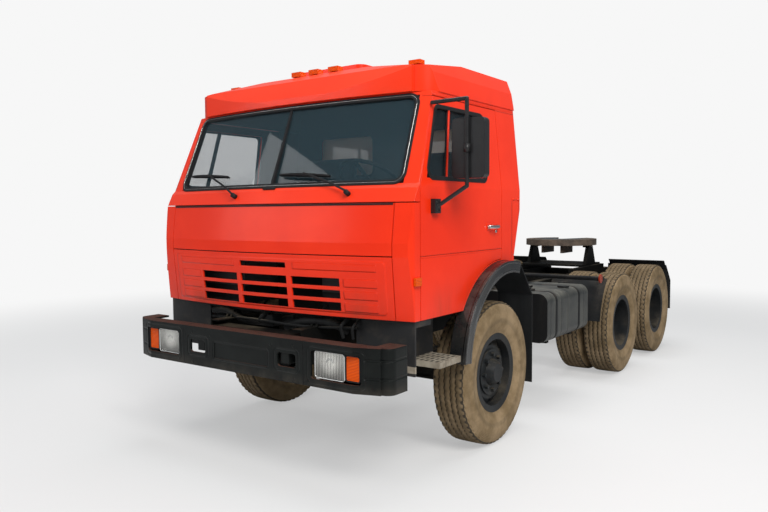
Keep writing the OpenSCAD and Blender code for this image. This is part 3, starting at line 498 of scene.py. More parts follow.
class Skin:
    """The outside of some CAD nodes. land() drops points on it along a direction."""

    def __init__(self, *nodes):
        parts = [(np.array([v.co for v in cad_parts[n].data.vertices]),
                  [list(f.vertices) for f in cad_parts[n].data.polygons]) for n in nodes]
        vertices, faces = joined(parts)
        self.tree = BVHTree.FromPolygons(vertices.tolist(), faces)

    def land(self, starts, direction):
        """Where each point lands, and the outward normals there."""
        spots, normals = [], []
        for start in starts:
            spot, normal, _, _ = self.tree.ray_cast(Vector(start), Vector(direction))
            if spot is None:
                spot, normal, _, _ = self.tree.find_nearest(Vector(start))
            normal = np.array(normal) * (-1 if np.dot(normal, direction) > 0 else 1)
            spots.append(np.array(spot))
            normals.append(normal)
        return np.array(spots), np.array(normals)


def box_part(low_corner, high_corner):
    """A plain block between two places given as at() takes them."""
    (x0, y0, z0), (x1, y1, z1) = at(*low_corner), at(*high_corner)
    v = np.array([(x, y, z) for x in (x0, x1) for y in (y0, y1) for z in (z0, z1)])
    return v, [(0, 1, 3, 2), (4, 6, 7, 5), (0, 4, 5, 1), (2, 3, 7, 6), (0, 2, 6, 4), (1, 5, 7, 3)]


def piece_of(name, parts, finish, body, smooth=True, bevel=0.0):
    """One object from many parts, riding on a body; bevel rounds its edges by that width."""
    vertices, faces = joined(parts)
    piece = mesh_piece(name, vertices, faces, finish, smooth)
    if bevel:
        rounding = piece.modifiers.new("rounding", "BEVEL")
        rounding.width, rounding.segments, rounding.limit_method = bevel, 2, "ANGLE"
        piece.data.shade_smooth()
    return add(piece, body)


# ---- Bumper --------------------------------------------------------------------------------
# A deep pressed steel bumper in satin black on brackets at the rail ends, in a middle length and
# two end lengths. The middle has a blank recess between the tow openings; dust lies on its ledge.


def outline_distance(a, b, middle, half, corner):
    """Metres from a rounded rectangle's edge in the plane of a and b, below 0 inside it."""
    da = abs(a - middle[0]) - (half[0] - corner)
    db = abs(b - middle[1]) - (half[1] - corner)
    outside = (da.math("MAXIMUM", 0.0).math("POWER", 2.0)
               + db.math("MAXIMUM", 0.0).math("POWER", 2.0)).math("SQRT")
    return outside + da.math("MAXIMUM", db).math("MINIMUM", 0.0) - corner


bumper = Finish("bumper_paint", Specular_IOR_Level=0.18)
x, y, z = bumper.truck()
wide = abs(x)
stains = bumper.noise(6.0, 6.0, 0.65)
grit = bumper.noise(90.0, 3.0, 0.6)
ledge = bumper.facing_up() * (stains * 0.5 + grit * 0.9).band(0.35, 0.85)
splash = (1.0 - z.band(0.64, 0.74)) * stains.band(0.3, 0.7) * 0.45
coat = bumper.mix(stains.band(0.3, 0.7), (0.0022, 0.0032, 0.0030), (0.0060, 0.0078, 0.0070))
seam_gap = 1.0 - abs(wide - 0.565).band(0.0015, 0.0035)
coat = bumper.mix(ledge * 0.8, coat, (0.10, 0.045, 0.032))
coat = bumper.mix(splash, coat, (0.07, 0.058, 0.045))
bumper.set(Base_Color=bumper.mix(seam_gap, coat, (0.002, 0.002, 0.002)),
           Roughness=0.34 + ledge * 0.5 + grit * 0.14)
frames = [outline_distance(wide, z, (0.812, 0.7875), (0.215, 0.113), 0.035),
          outline_distance(wide, z, (0.422, 0.789), (0.104, 0.070), 0.030),
          outline_distance(x, z, (0.0, 0.778), (0.262, 0.060), 0.020)]
relief = 1.0 - seam_gap
for edge in frames:
    relief = relief - edge.band(-0.010, 0.0) * 0.45 * (1.0 - edge.band(0.0, 0.010))
for level in (0.853, 0.744):
    groove = (1.0 - abs(z - level).band(0.003, 0.010)) * wide.band(1.005, 1.035)
    relief = relief - groove * 0.9
for bolt_x, bolt_z in ((0.48, 0.885), (0.48, 0.675), (0.285, 0.872)):
    spot = ((wide - bolt_x) * (wide - bolt_x) + (z - bolt_z) * (z - bolt_z)).math("SQRT")
    relief = relief + (1.0 - spot.band(0.006, 0.012)) * 0.5
bumper.relief(relief + grit * 0.03, 0.009, 0.012)
repaint(bumper, "front_bumper")

# ---- Headlamps and indicators --------------------------------------------------------------
# Square headlamps with fluted glass over a bowl, in chromed rims, and ribbed amber indicators beside them. The
# bowl's reflection is painted into the glass colour: bright round the bulb, lighter towards the top and in
# light stripes along the flutes. The indicators' rib crests are painted lighter as highlight. The rear lamps
# and the round side reflectors are moulded plastic.

chrome = Finish("lamp_chrome", Metallic=1.0, Roughness=0.16)
chrome.set(Base_Color=chrome.mix(chrome.noise(40.0), (0.42, 0.42, 0.41), (0.66, 0.66, 0.65)))
headlamp = Finish("headlamp_glass", Metallic=0.85, Coat_Weight=0.5, Coat_Roughness=0.04)
x, y, z = headlamp.truck()
wide = abs(x)
from_bulb = ((wide - 0.756) * (wide - 0.756) + (z - 0.80) * (z - 0.80)).math("SQRT")
flutes = (x * 520.0).math("SINE") * 0.5 + 0.5
# Painted reflection: the bowl is bright round the bulb and lighter towards the top, and the flutes add light
# stripes.
painted_bowl_reflection = (1.0 - from_bulb.band(0.018, 0.09)) * 0.55 + (z - 0.70).band(0.0, 0.16) * 0.5
headlamp.set(Base_Color=headlamp.mix(painted_bowl_reflection + flutes * 0.15, (0.16, 0.16, 0.15), (0.80, 0.79, 0.74)),
             Roughness=0.12 + flutes * 0.16)
headlamp.relief(flutes + (1.0 - from_bulb.band(0.02, 0.035)) * 1.5, 0.003)
repaint(headlamp, "headlamps")
amber = Finish("amber_lens", Specular_IOR_Level=0.12, Coat_Weight=0.05, Coat_Roughness=0.08, Roughness=0.3)
x, y, z = amber.truck()
ribs = (z * 700.0).math("SINE") * 0.5 + 0.5
red_part = y.band(2.0, 2.05)
# Painted highlight: the rib crests are painted lighter amber than the troughs.
amber_and_rib_highlight = amber.mix(ribs, (0.60, 0.050, 0.0005), (0.88, 0.115, 0.001))
amber.set(Base_Color=amber.mix(red_part, amber_and_rib_highlight, (0.30, 0.035, 0.012)))
amber.relief(ribs, 0.002, 0.004)
repaint(amber, "indicators", "marker_lamps")
lamp_face = -1.434
rims = []
for side in (1, -1):
    for x0, x1, z0, z1 in ((0.640, 0.872, 0.705, 0.870), (0.880, 0.988, 0.713, 0.868)):
        line = rounded([(x0, z0), (x1, z0), (x1, z1), (x0, z1)], 0.016)
        ring = np.array([at(side * px, lamp_face - 0.001, pz) for px, pz in line])
        rims.append(sweep(ring, round_section(0.0055), closed=True))
piece_of("headlamp_rims", rims[::2], chrome, "chassis")
black_rubber = Finish("black_plastic", Roughness=0.55, Specular_IOR_Level=0.25)
lumps = black_rubber.noise(220.0, 2.0)
cloudy_black = black_rubber.mix(black_rubber.noise(8.0), (0.006, 0.006, 0.007), (0.015, 0.015, 0.016))
black_rubber.set(Base_Color=cloudy_black,
                 Roughness=0.5 + lumps * 0.2)
black_rubber.relief(lumps, 0.0006)
piece_of("indicator_rims", rims[1::2], black_rubber, "chassis")

# ---- Cab paint -----------------------------------------------------------------------------
# Welded steel cab in orange-red enamel, a little dull and dusty low down. Behind the front
# panels, in the wheel arches and underneath it is black primer, and inside it is grey trim.


def kinked(value, turns):
    """A bent line: the sum of slope * max(0, value - start) over the (start, slope) pairs."""
    total = 0.0
    for start, slope in turns:
        total = (value - start).math("MAXIMUM", 0.0) * slope + total
    return total


def cab_enamel(name, extra_relief=None):
    """The enamel, with black and trim where the surface faces the inside of the body."""
    finish = Finish(name, Coat_Weight=0.12, Coat_Roughness=0.12, Specular_IOR_Level=0.22)
    x, y, z = finish.truck()
    wide = abs(x)
    set_back = kinked(z, ((1.52, 0.13), (1.766, 0.37), (1.858, 0.5), (1.885, -0.593)))
    set_back = set_back + (1.436 - z).math("MAXIMUM", 0.0) * 0.0946
    depth = y + 1.255 - set_back - x * x / 13.0
    behind_panels = depth.band(0.010, 0.015) * (1.0 - wide.band(1.024, 1.030)) * (1.0 - z.band(1.752, 1.756))
    ring = ((y - 0.05) * (y - 0.05) + (z - 0.66) * (z - 0.66)).math("SQRT")
    in_arch = 1.0 - ring.band(0.6915, 0.6925)
    below = 1.0 - z.band(1.0450, 1.0458)
    dark = behind_panels.math("MAXIMUM", in_arch).math("MAXIMUM", below)
    side = 1.160 - kinked(z, ((1.866, 0.0985),))
    inside = (depth.band(0.028, 0.034) * (1.0 - y.band(0.318, 0.322)) * (side - wide).band(0.030, 0.034)
              * (1.0 - z.band(2.655, 2.665)) * z.band(1.176, 1.180) * (depth + side - wide).band(0.080, 0.088))
    fade = finish.noise(1.3, 4.0, 0.6)
    specks = finish.noise(160.0, 2.0, 0.7)
    red = finish.mix(fade.band(0.3, 0.7), (0.80, 0.026, 0.0035), (0.90, 0.036, 0.006))
    # Painted light: up-facing faces and the upper cab are painted lighter, as light falling from above.
    painted_top_light = finish.facing_up() * 0.35 + z.band(2.3, 2.7) * 0.10
    red = finish.mix(painted_top_light, red, (0.88, 0.10, 0.055))
    streaks = finish.noise(5.0, 5.0, 0.6, stretch=(1, 1, 0.25))
    grime = (1.0 - z.band(1.03, 1.30)) * streaks.band(0.35, 0.8) * 0.45 + specks.band(0.70, 0.80) * 0.10
    grime = grime + (1.0 - abs(z - 2.47).band(0.0, 0.06)) * streaks.band(0.40, 0.75) * 0.16
    red = finish.mix(grime, red, (0.16, 0.055, 0.030))
    trim = finish.mix(finish.noise(12.0), (0.040, 0.043, 0.044), (0.060, 0.062, 0.062))
    colour = finish.mix(inside, finish.mix(dark, red, (0.010, 0.010, 0.011)), trim)
    finish.set(Base_Color=colour, Roughness=grime * 0.5 + specks * 0.06 + 0.27 + dark * 0.4)
    height = finish.noise(2.2, 2.0) * 0.35 + specks * 0.02
    if extra_relief:
        height = height + extra_relief(finish, x, y, z, wide)
    finish.relief(height, 0.010, 0.006)
    return finish


def grille_pressings(finish, x, y, z, wide):
    """Raised blind tongues beside the slots, a lip round the panel, and vents below the screen."""
    edges = [outline_distance(wide, z, (0.800, level), (0.125, 0.030), 0.012)
             for level in (1.2665, 1.189, 1.110)]
    edges.append(outline_distance(wide, z, (0.600, 1.364), (0.325, 0.026), 0.012))
    height = sum((1.0 - edge.band(-0.008, 0.0)) * 0.75 for edge in edges)
    border = outline_distance(x, z, (0.0, 1.24), (0.985, 0.168), 0.03)
    return height + (1.0 - border.band(-0.008, 0.004)) * 0.6


def body_lines(finish, x, y, z, wide):
    """Crease along the door, seams of the rear panel and its flap, and the drip moulding."""
    rear_seam = 1.0 - abs(y - 0.215).band(0.0015, 0.005)
    flap = 1.0 - abs(outline_distance(y, z, (0.278, 1.585), (0.058, 0.205), 0.02)).band(0.0015, 0.005)
    on_side = wide.band(1.03, 1.06)
    crease = (1.0 - abs(z - 1.432).band(0.003, 0.009)) * on_side * (1.0 - y.band(0.045, 0.05))
    drip = (1.0 - abs(z - 2.448).band(0.004, 0.010)) * on_side * 0.8
    return drip - rear_seam * on_side * (1.0 - z.band(1.80, 1.81)) * 0.6 - flap * on_side * 0.9 - crease * 0.9


panel_red = cab_enamel("cab_paint_grille", grille_pressings)
body_red = cab_enamel("cab_paint", body_lines)
repaint(panel_red, "front_panels")
repaint(body_red, "cab_shell", "front_lid", "roof", "roof_hatch", "left_door", "right_door")

# ---- Glass and its rubber ------------------------------------------------------------------
# Two flat-tinted halves of the windscreen with a black strip between them, door windows with a
# quarter light in front, and two rear windows, all held in black rubber.

glass = Finish("glass", Roughness=0.03, Coat_Weight=1.0, Coat_Roughness=0.02, Specular_IOR_Level=0.6)
x, y, z = glass.truck()
haze = glass.noise(4.0, 5.0, 0.6)
dirty = (1.0 - z.band(1.90, 2.05)) * haze.band(0.4, 0.7) * 0.25
rear_blind = y.band(0.30, 0.31)
on_door = abs(x).band(1.06, 1.08)
glass.set(Base_Color=glass.mix(rear_blind, (0.030, 0.066, 0.085), (0.86, 0.62, 0.36)),
          Alpha=dirty * 0.3 + 0.30 - on_door * 0.18 + rear_blind * 0.55)
repaint(glass, "cab_glass", "left_door_glass", "right_door_glass")

BOW = 5.245                    # Y of the upright axis that the bowed front is turned about


def on_front(line):
    """Points and outward normals of the cab's front above the belt at the (x, z) pairs.

    The front there is a cone: its radius is 6.395 m at z 1.885 and falls by 0.4068 a metre."""
    x, z = np.asarray(line, float).T
    radius = 6.395 - 0.4068 * (z - 1.885)
    y = BOW - np.sqrt(radius ** 2 - x ** 2)
    normals = np.stack([x / radius, (y - BOW) / radius, np.full(len(x), 0.4068)], -1)
    return np.stack([x + MIDDLE, y + AXLE, z], -1), normals / math.hypot(1.0, 0.4068)


def on_side(line, side):
    """The same for the cab's side at (y, z) pairs: upright to the belt, then leaning in."""
    y, z = np.asarray(line, float).T
    x = side * (1.160 - 0.0985 * np.maximum(0, z - 1.866))
    normals = np.stack([np.full(len(y), float(side)), np.zeros(len(y)), np.where(z > 1.866, 0.0985, 0.0)], -1)
    return np.stack([x + MIDDLE, y + AXLE, z], -1), normals


body = Skin("cab_shell", "cab_glass", "roof")
screen_line = rounded([(-1.040, 1.893), (1.040, 1.893), (1.018, 2.448), (-1.018, 2.448)], 0.062)
spots, normals = on_front(screen_line)
seals = [sweep(spots, flat_section(0.034, 0.008, -0.020), normals, closed=True)]
bright = [sweep(spots + normals * 0.0085, round_section(0.0015, 8), normals, closed=True)]
strip_z = np.linspace(1.895, 2.446, 24)
spots, normals = on_front([(0.004, pz) for pz in strip_z])
seals.append(sweep(spots, flat_section(0.017, 0.002, -0.022), normals))
for side in (1, -1):
    near, far_x = side * 0.205, side * 0.788
    line = rounded([(near, 2.035), (far_x, 2.035), (far_x, 2.370), (near, 2.370)], 0.04)
    spots = np.array([at(px, 0.3501, pz) for px, pz in line])
    seals.append(sweep(spots, flat_section(0.034, 0.007, -0.014), (0, 1, 0), closed=True))
piece_of("window_rubber", seals, black_rubber, "cab", smooth=False)
piece_of("screen_bead", bright, chrome, "cab")
for side, door_name in ((1, "left_door"), (-1, "right_door")):
    corners = [(-0.965, 1.920), (-0.180, 1.920), (-0.155, 2.380), (-0.790, 2.380)]
    spots, normals = on_side(rounded(corners, 0.050), side)
    rubber = [sweep(spots, flat_section(0.026, 0.005, -0.014), normals, closed=True)]
    lean = [(-0.727 + 0.105 * share, 1.928 + 0.444 * share) for share in np.linspace(0, 1, 14)]
    spots, normals = on_side(lean, side)
    rubber.append(sweep(spots, flat_section(0.034, -0.004, -0.013, 0.0), normals))
    piece_of(door_name + "_rubber", rubber, black_rubber, door_name, smooth=False)
    post = [sweep(spots, flat_section(0.016, 0.003, -0.005), normals)]
    piece_of(door_name + "_window_post", post, body_red, door_name, smooth=False)

# ---- Wipers --------------------------------------------------------------------------------
# Two black pantograph wipers on spindles through the cowl; each blade lies level just above the
# rubber at the foot of the screen.

wipers = []
for pivot, joint, blade_a, blade_b in (((-0.306, 1.824), (-0.690, 1.985), (-0.950, 1.992), (-0.470, 1.972)),
                                       ((0.691, 1.825), (0.300, 1.962), (0.067, 1.966), (0.500, 1.946))):
    line = np.array([pivot, (pivot[0] * 0.6 + joint[0] * 0.4, pivot[1] * 0.55 + joint[1] * 0.45), joint])
    line = smooth_line(line, 8)
    spots, normals = on_front(line)
    lift = np.linspace(0.050, 0.030, len(spots))[:, None]
    wipers.append(sweep(spots + normals * lift, flat_section(0.014, 0.008), normals))
    blade = np.linspace(0, 1, 16)[:, None] * (np.array(blade_b) - blade_a) + blade_a
    spots, normals = on_front(blade)
    wipers.append(sweep(spots - normals * 0.010, flat_section(0.010, 0.018), normals))
    arch = 0.008 + 0.020 * np.sin(np.linspace(0, math.pi, 16))[:, None]
    wipers.append(sweep(spots + normals * arch, flat_section(0.013, 0.006), normals))
    base, out = body.land([at(pivot[0], -2.0, pivot[1])], (0, 1, 0))
    wipers.append(sweep([base[0] - out[0] * 0.002, base[0] + out[0] * 0.036], round_section(0.017, 16)))
nozzle, out = on_front([(-0.05, 1.874), (0.06, 1.874)])
wipers.append(sweep(nozzle + out * 0.010, round_section(0.012, 10)))
piece_of("wipers", wipers, black_rubber, "cab", bevel=0.0)

# ---- Front lid trim ------------------------------------------------------------------------
# A black rubber strip closes the gap over the lid.

strip_x = np.linspace(-1.025, 1.025, 60)
lid_skin = Skin("front_lid", "cab_shell")
spots, normals = lid_skin.land([at(px, -2.0, 1.7595) for px in strip_x], (0, 1, 0))
piece_of("lid_strip", [sweep(spots, flat_section(0.011, 0.004, -0.002), normals)], black_rubber,
         "front_lid", smooth=False)

# ---- Doors ---------------------------------------------------------------------------------
# Each door has a chromed pull handle in a shallow pan, a lock below it, and a mirror on the left.

for side, door_name in ((1, "left_door"), (-1, "right_door")):
    door_skin = Skin(door_name)
    grip = [at(side * 1.6, py, 1.600) for py in np.linspace(-0.175, -0.040, 12)]
    spots, normals = door_skin.land(grip, (-side, 0, 0))
    reach_out = 0.012 + 0.022 * np.sin(np.linspace(0.0, math.pi, 12))[:, None] ** 0.5
    lever = [sweep(spots + normals * reach_out, flat_section(0.024, 0.012), normals)]
    lock, out = door_skin.land([at(side * 1.6, -0.052, 1.567)], (-side, 0, 0))
    lever.append(sweep([lock[0], lock[0] + out[0] * 0.007], round_section(0.012, 20)))
    ends = [sweep([spots[i] - normals[i] * 0.001, spots[i] + normals[i] * 0.016], round_section(0.013, 16))
            for i in (0, -1)]
    piece_of(door_name + "_handle", lever + ends, chrome, door_name, bevel=0.003)
    pan = [at(side * 1.6, py, 1.600) for py in np.linspace(-0.190, -0.025, 6)]
    plate, out = door_skin.land(pan, (-side, 0, 0))
    piece_of(door_name + "_handle_pan", [sweep(plate, flat_section(0.050, 0.0025, -0.001), out)], body_red,
             door_name, smooth=False)

# ---- Rear panel flap -----------------------------------------------------------------------
# The narrow flap behind each door hangs from two small hinges, and a black strip edges the cab.

fittings, strips = [], []
for side in (1, -1):
    for hinge_place in (0.238, 0.318):
        ends = [at(side * 1.6, hinge_place + offset, 1.797) for offset in (-0.016, 0.016)]
        spots, _ = body.land(ends, (-side, 0, 0))
        fittings.append(sweep(spots, round_section(0.006, 10)))
    edge_z = np.linspace(1.74, 2.44, 20)
    half_width = 1.160 - np.maximum(0, edge_z - 1.866) * 0.0985
    line = np.array([at(side * (w - 0.012), 0.3505, pz) for w, pz in zip(half_width, edge_z)])
    strips.append(sweep(line, flat_section(0.018, 0.006, -0.001), (0, 1, 0)))
piece_of("flap_hinges", fittings, body_red, "cab")
piece_of("rear_edge_strips", strips, black_rubber, "cab", smooth=False)

# ---- Mirror --------------------------------------------------------------------------------
# A black ribbed shell with the glass facing back, clamped half way up a bowed steel tube that
# stands on a two-bolt bracket below the window.

steel_black = Finish("mirror_black", Coat_Weight=0.15, Coat_Roughness=0.25, Specular_IOR_Level=0.25)
scuffs = steel_black.noise(14.0, 5.0, 0.6)
steel_black.set(Base_Color=steel_black.mix(scuffs, (0.008, 0.008, 0.009), (0.020, 0.020, 0.021)),
                Roughness=scuffs * 0.2 + 0.3)
steel_black.relief(scuffs, 0.0015, 0.008)
repaint(steel_black, "left_mirror")
shell_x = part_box("left_mirror")[1][0] - 0.115
face = AXLE - 0.740
silver = Finish("mirror_silver", Metallic=1.0, Specular_IOR_Level=0.5)
silver.set(Base_Color=silver.mix(silver.noise(30.0), (0.60, 0.62, 0.63), (0.72, 0.74, 0.75)), Roughness=0.04)
outline = rounded([(-0.103, -0.172), (0.103, -0.172), (0.103, 0.172), (-0.103, 0.172)], 0.022)
ring = [(shell_x + a, face - 0.0005, 2.100 + b) for a, b in outline]
mirror_face = [(px, face + depth, pz) for depth in (-0.006, 0.0010) for px, _, pz in ring]
count = len(ring)
mirror_faces = [list(range(count)), list(range(count, 2 * count))[::-1]]
mirror_faces += [[i + count, (i + 1) % count + count, (i + 1) % count, i] for i in range(count)]
piece_of("mirror_glass", [(np.array(mirror_face), mirror_faces)], silver, "left_door", smooth=False)
clamp_ends = [(shell_x, AXLE - 0.815, 2.100 - 0.026), (shell_x, AXLE - 0.815, 2.100 + 0.026)]
clamp = [sweep(clamp_ends, round_section(0.021, 20))]
for bolt_z in (1.722, 1.768):
    for bolt_y in (-0.918, -0.878):
        spot = at(1.194, bolt_y, bolt_z)
        clamp.append(sweep([spot - (0.001, 0, 0), spot + (0.005, 0, 0)], round_section(0.007, 6)))
piece_of("mirror_fittings", clamp, steel_black, "left_door")

# ---- Wheel arch flares ---------------------------------------------------------------------
# Glossy black pressed flares with a rolled lip along each edge and an amber marker on top.

flare = Finish("guard_plastic", Coat_Weight=0.35, Coat_Roughness=0.15, Specular_IOR_Level=0.3)
x, y, z = flare.truck()
ring = ((y - 0.05) * (y - 0.05) + (z - 0.66) * (z - 0.66)).math("SQRT")
film = flare.noise(5.0, 5.0, 0.65)
dust_share = (flare.facing_up() * 0.35 + 0.12) * film.band(0.35, 0.75)
flare.set(Base_Color=flare.mix(dust_share, (0.0085, 0.010, 0.0115), (0.12, 0.10, 0.078)),
          Roughness=dust_share * 0.5 + 0.22)
lips = (1.0 - abs(ring - 0.678).band(0.002, 0.009)) + (1.0 - abs(ring - 0.618).band(0.002, 0.008))
wide = abs(x)
lips = lips + (1.0 - abs(wide - 1.222).band(0.002, 0.008))
flare.relief(lips + film * 0.15, 0.008, 0.010)
repaint(flare, "wings")
markers = []
for side in (1, -1):
    x0, x1 = sorted((side * 1.196, side * 1.2395))
    markers.append(box_part((x0, 0.008, 1.318), (x1, 0.070, 1.346)))
piece_of("flare_markers", markers, amber, "cab", bevel=0.004)

# ---- Steps ---------------------------------------------------------------------------------
# Pressed grip plate of bare steel, worn bright on its ribs, in a folded tray; the housing round
# it is black sheet under road dust.

step = Finish("step_steel", Metallic=0.0)
x, y, z = step.truck()
tread_area = abs(x).band(0.972, 0.976) * (1.0 - z.band(0.7655, 0.766)) * z.band(0.724, 0.7245)
bars = ((abs(x) * 165.0).math("SINE") * 0.5 + 0.5)
slots = ((y * 95.0).math("SINE") * 0.5 + 0.5)
pattern = bars.band(0.35, 0.6).math("MAXIMUM", slots.band(0.55, 0.8))
wear = step.noise(9.0, 6.0, 0.65)
metal = step.mix(wear.band(0.3, 0.7), (0.20, 0.165, 0.12), (0.36, 0.32, 0.255))
grip = step.mix(pattern * step.facing_up() + (1.0 - step.facing_up()), (0.045, 0.036, 0.026), metal)
sheet = step.mix(wear.band(0.45, 0.8) * 0.4, (0.010, 0.010, 0.011), (0.085, 0.068, 0.050))
step.set(Base_Color=step.mix(tread_area, sheet, grip), Roughness=wear * 0.3 + 0.5)
step.relief(pattern * tread_area + wear * 0.1, 0.006, 0.006)
repaint(step, "steps")

# ---- Mudguards -----------------------------------------------------------------------------
# Rolled black sheet guards on tubes, and rubber flaps, all dull with dried mud.

guard = dusty("chassis_paint_guards", (0.012, 0.013, 0.014), dust=(0.15, 0.12, 0.088), cover=0.32, rough=0.55)
repaint(guard, "mudguards")

# ---- Fuel tank, battery box, silencer and air tanks ------------------------------------------
# Welded sheet tank with pressed ribs, two steel straps with bolts below, a lever cap and a sender
# on top. The battery box, silencer and air tanks hang on the right.

tank_paint = Finish("tank_paint", Specular_IOR_Level=0.4)
x, y, z = tank_paint.truck()
stain = tank_paint.noise(4.5, 6.0, 0.65)
runs = tank_paint.noise(11.0, 4.0, 0.6, stretch=(1, 1, 0.15))
settled = (tank_paint.facing_up() * 0.75 + runs.band(0.45, 0.8) * 0.45) * stain.band(0.25, 0.7)
worn = tank_paint.mix(stain.band(0.35, 0.65), (0.020, 0.022, 0.021), (0.044, 0.046, 0.041))
# Painted shade: the front end, ahead of y 0.93, is painted near-black.
painted_front_shade = 1.0 - y.band(0.926, 0.932)
worn = tank_paint.mix(painted_front_shade, worn, (0.008, 0.008, 0.0085))
tank_paint.set(Base_Color=tank_paint.mix(settled * 0.75, worn, (0.155, 0.148, 0.125)),
               Roughness=settled * 0.3 + 0.45)
ribs = (1.0 - abs(y - 1.245).band(0.004, 0.014)) + (1.0 - abs(y - 1.395).band(0.004, 0.014))
ribs = ribs + (1.0 - abs(y - 1.790).band(0.004, 0.014)) + (1.0 - abs(y - 1.010).band(0.004, 0.014))
tank_paint.relief(ribs - stain * 0.25, 0.007, 0.004)
repaint(tank_paint, "fuel_tank", "battery_box", "air_tanks")
pipe_rust = dusty("silencer_steel", (0.060, 0.036, 0.024), dust=(0.17, 0.12, 0.08), cover=0.5, rough=0.75)
repaint(pipe_rust, "silencer")
strap_line = np.array(rounded([(0.5605, 0.590), (1.1495, 0.590), (1.1495, 1.0095), (0.5605, 1.0095)], 0.080))
straps = []
for strap_y in (1.127, 1.660):
    line = np.array([at(px, strap_y, pz) for px, pz in strap_line])
    out = strap_line - (0.855, 0.80)
    out = np.stack([out[:, 0], np.zeros(len(out)), out[:, 1]], -1)
    straps.append(sweep(line, flat_section(0.042, 0.0025, -0.002), out, closed=True))
    bolt = at(1.02, strap_y, 0.586)
    straps.append(sweep([bolt, bolt - (0, 0, 0.030)], round_section(0.010, 8)))
piece_of("tank_straps", straps, guard, "chassis")
cap = at(1.050, 1.523, 1.027)
top = [(np.array(v) @ np.array([[0, 0, -1], [0, 1, 0], [1, 0, 0]]) + cap, f) for v, f in
       (turned([(0.000, 0.0001), (0.000, 0.052), (0.010, 0.054), (0.016, 0.046), (0.018, 0.0001)], 36),)]
lever = [at(1.020, 1.490, 1.050), at(1.050, 1.523, 1.054), at(1.082, 1.560, 1.048)]
top.append(sweep(lever, flat_section(0.022, 0.009), (0, 0, 1)))
sender = at(0.90, 1.13, 1.010)
top.append(sweep([sender, sender + (0, 0, 0.016)], round_section(0.045, 24)))
top.append(sweep([sender + (0, 0, 0.014), sender + (0.02, 0.0, 0.040), sender + (-0.02, 0.06, 0.030),
                  sender + (-0.12, 0.20, 0.012)], round_section(0.008, 8)))
piece_of("tank_cap", top, guard, "chassis", bevel=0.002)

# ---- Fifth wheel ---------------------------------------------------------------------------
# Cast rocking plate: the rim is rusty and dusty, the top is polished in arcs by trailers and
# smeared with old black grease round the throat.

greasy = Finish("greasy_steel", Specular_IOR_Level=0.5)
x, y, z = greasy.truck()
radius = (x * x + (y - 4.10) * (y - 4.10)).math("SQRT")
blotch = greasy.noise(7.0, 6.0, 0.65)
top_face = greasy.facing_up()
grease = (top_face * (1.0 - radius.band(0.16, 0.36)) + (blotch - 0.5) * 0.9).band(0.15, 0.6)
cast_iron = greasy.mix(blotch.band(0.3, 0.7), (0.050, 0.036, 0.026), (0.135, 0.098, 0.070))
scored = (radius * 260.0).math("SINE") * 0.5 + 0.5
greasy.set(Base_Color=greasy.mix(grease, cast_iron, (0.012, 0.010, 0.009)), Roughness=0.68 - grease * 0.34)
greasy.relief(scored * top_face * 0.35 + blotch, 0.003, 0.006)
repaint(greasy, "fifth_wheel_plate")

# ---- Under the cab's nose ------------------------------------------------------------------
# Hoses, pipes and small valve boxes show between the grille panel and the bumper. They are dull
# painted steel and rubber, fixed to the frame and set behind the sweep of the tilting panel.

PIPES = (
    (0.024, ((-0.62, -1.135, 0.99), (-0.45, -1.155, 1.00), (-0.30, -1.135, 0.945), (-0.10, -1.095, 0.94),
             (0.10, -1.035, 0.98))),
    (0.028, ((0.12, -1.135, 0.93), (0.30, -1.155, 0.985), (0.52, -1.135, 0.990), (0.60, -1.055, 0.93))),
    (0.011, ((-0.75, -1.095, 1.03), (-0.30, -1.125, 1.02), (0.20, -1.125, 1.03), (0.80, -1.075, 1.025))),
    (0.009, ((-0.66, -1.115, 0.94), (-0.20, -1.175, 0.965), (0.30, -1.175, 0.955), (0.72, -1.115, 0.97))),
    (0.012, ((0.62, -1.135, 0.90), (0.62, -1.155, 0.98), (0.66, -1.095, 1.04))),
    (0.010, ((0.70, -1.135, 0.90), (0.71, -1.145, 0.98), (0.74, -1.075, 1.04))),
    (0.016, ((-0.12, -1.165, 0.95), (-0.06, -1.175, 1.00), (-0.02, -1.115, 1.04))))
VALVE_BOXES = (
    ((-0.10, -1.17, 0.925), (0.02, -1.055, 1.005)),
    ((0.20, -1.135, 0.93), (0.26, -1.035, 0.99)),
    ((-0.60, -1.125, 0.93), (-0.52, -1.015, 1.02)))

clutter = [sweep(curve(route), round_section(radius)) for radius, route in PIPES]
clutter += [box_part(low_corner, high_corner) for low_corner, high_corner in VALVE_BOXES]
under_parts = dusty("engine_iron_pipes", (0.014, 0.0145, 0.015), cover=0.35, rough=0.6)
piece_of("nose_pipes", clutter, under_parts, "chassis", bevel=0.004)

# ---- Dashboard, steering wheel and seats ---------------------------------------------------
# Dark moulded dashboard with a cowl over the dials, black wheel rim, and two seats in woven cloth
# with sewn panels.

dash = Finish("cab_trim", Roughness=0.6)
grain = dash.noise(300.0, 2.0)
x, y, z = dash.truck()
cluster = outline_distance(x, z, (0.48, 1.76), (0.20, 0.055), 0.02)
faces_back = y.band(-0.775, -0.765)
dials = (1.0 - cluster.band(-0.004, 0.0)) * faces_back
ticks = ((x * 60.0).math("SINE") * (z * 60.0).math("SINE")).band(0.2, 0.6)
dash.set(Base_Color=dash.mix(dials, dash.mix(grain, (0.020, 0.022, 0.024), (0.032, 0.034, 0.036)),
                             dash.mix(ticks, (0.004, 0.004, 0.004), (0.35, 0.36, 0.34))),
         Roughness=0.75 - dials * 0.5)
dash.relief(grain * 0.2 - dials, 0.004, 0.010)
repaint(dash, "dashboard")
repaint(black_rubber, "steering_wheel")


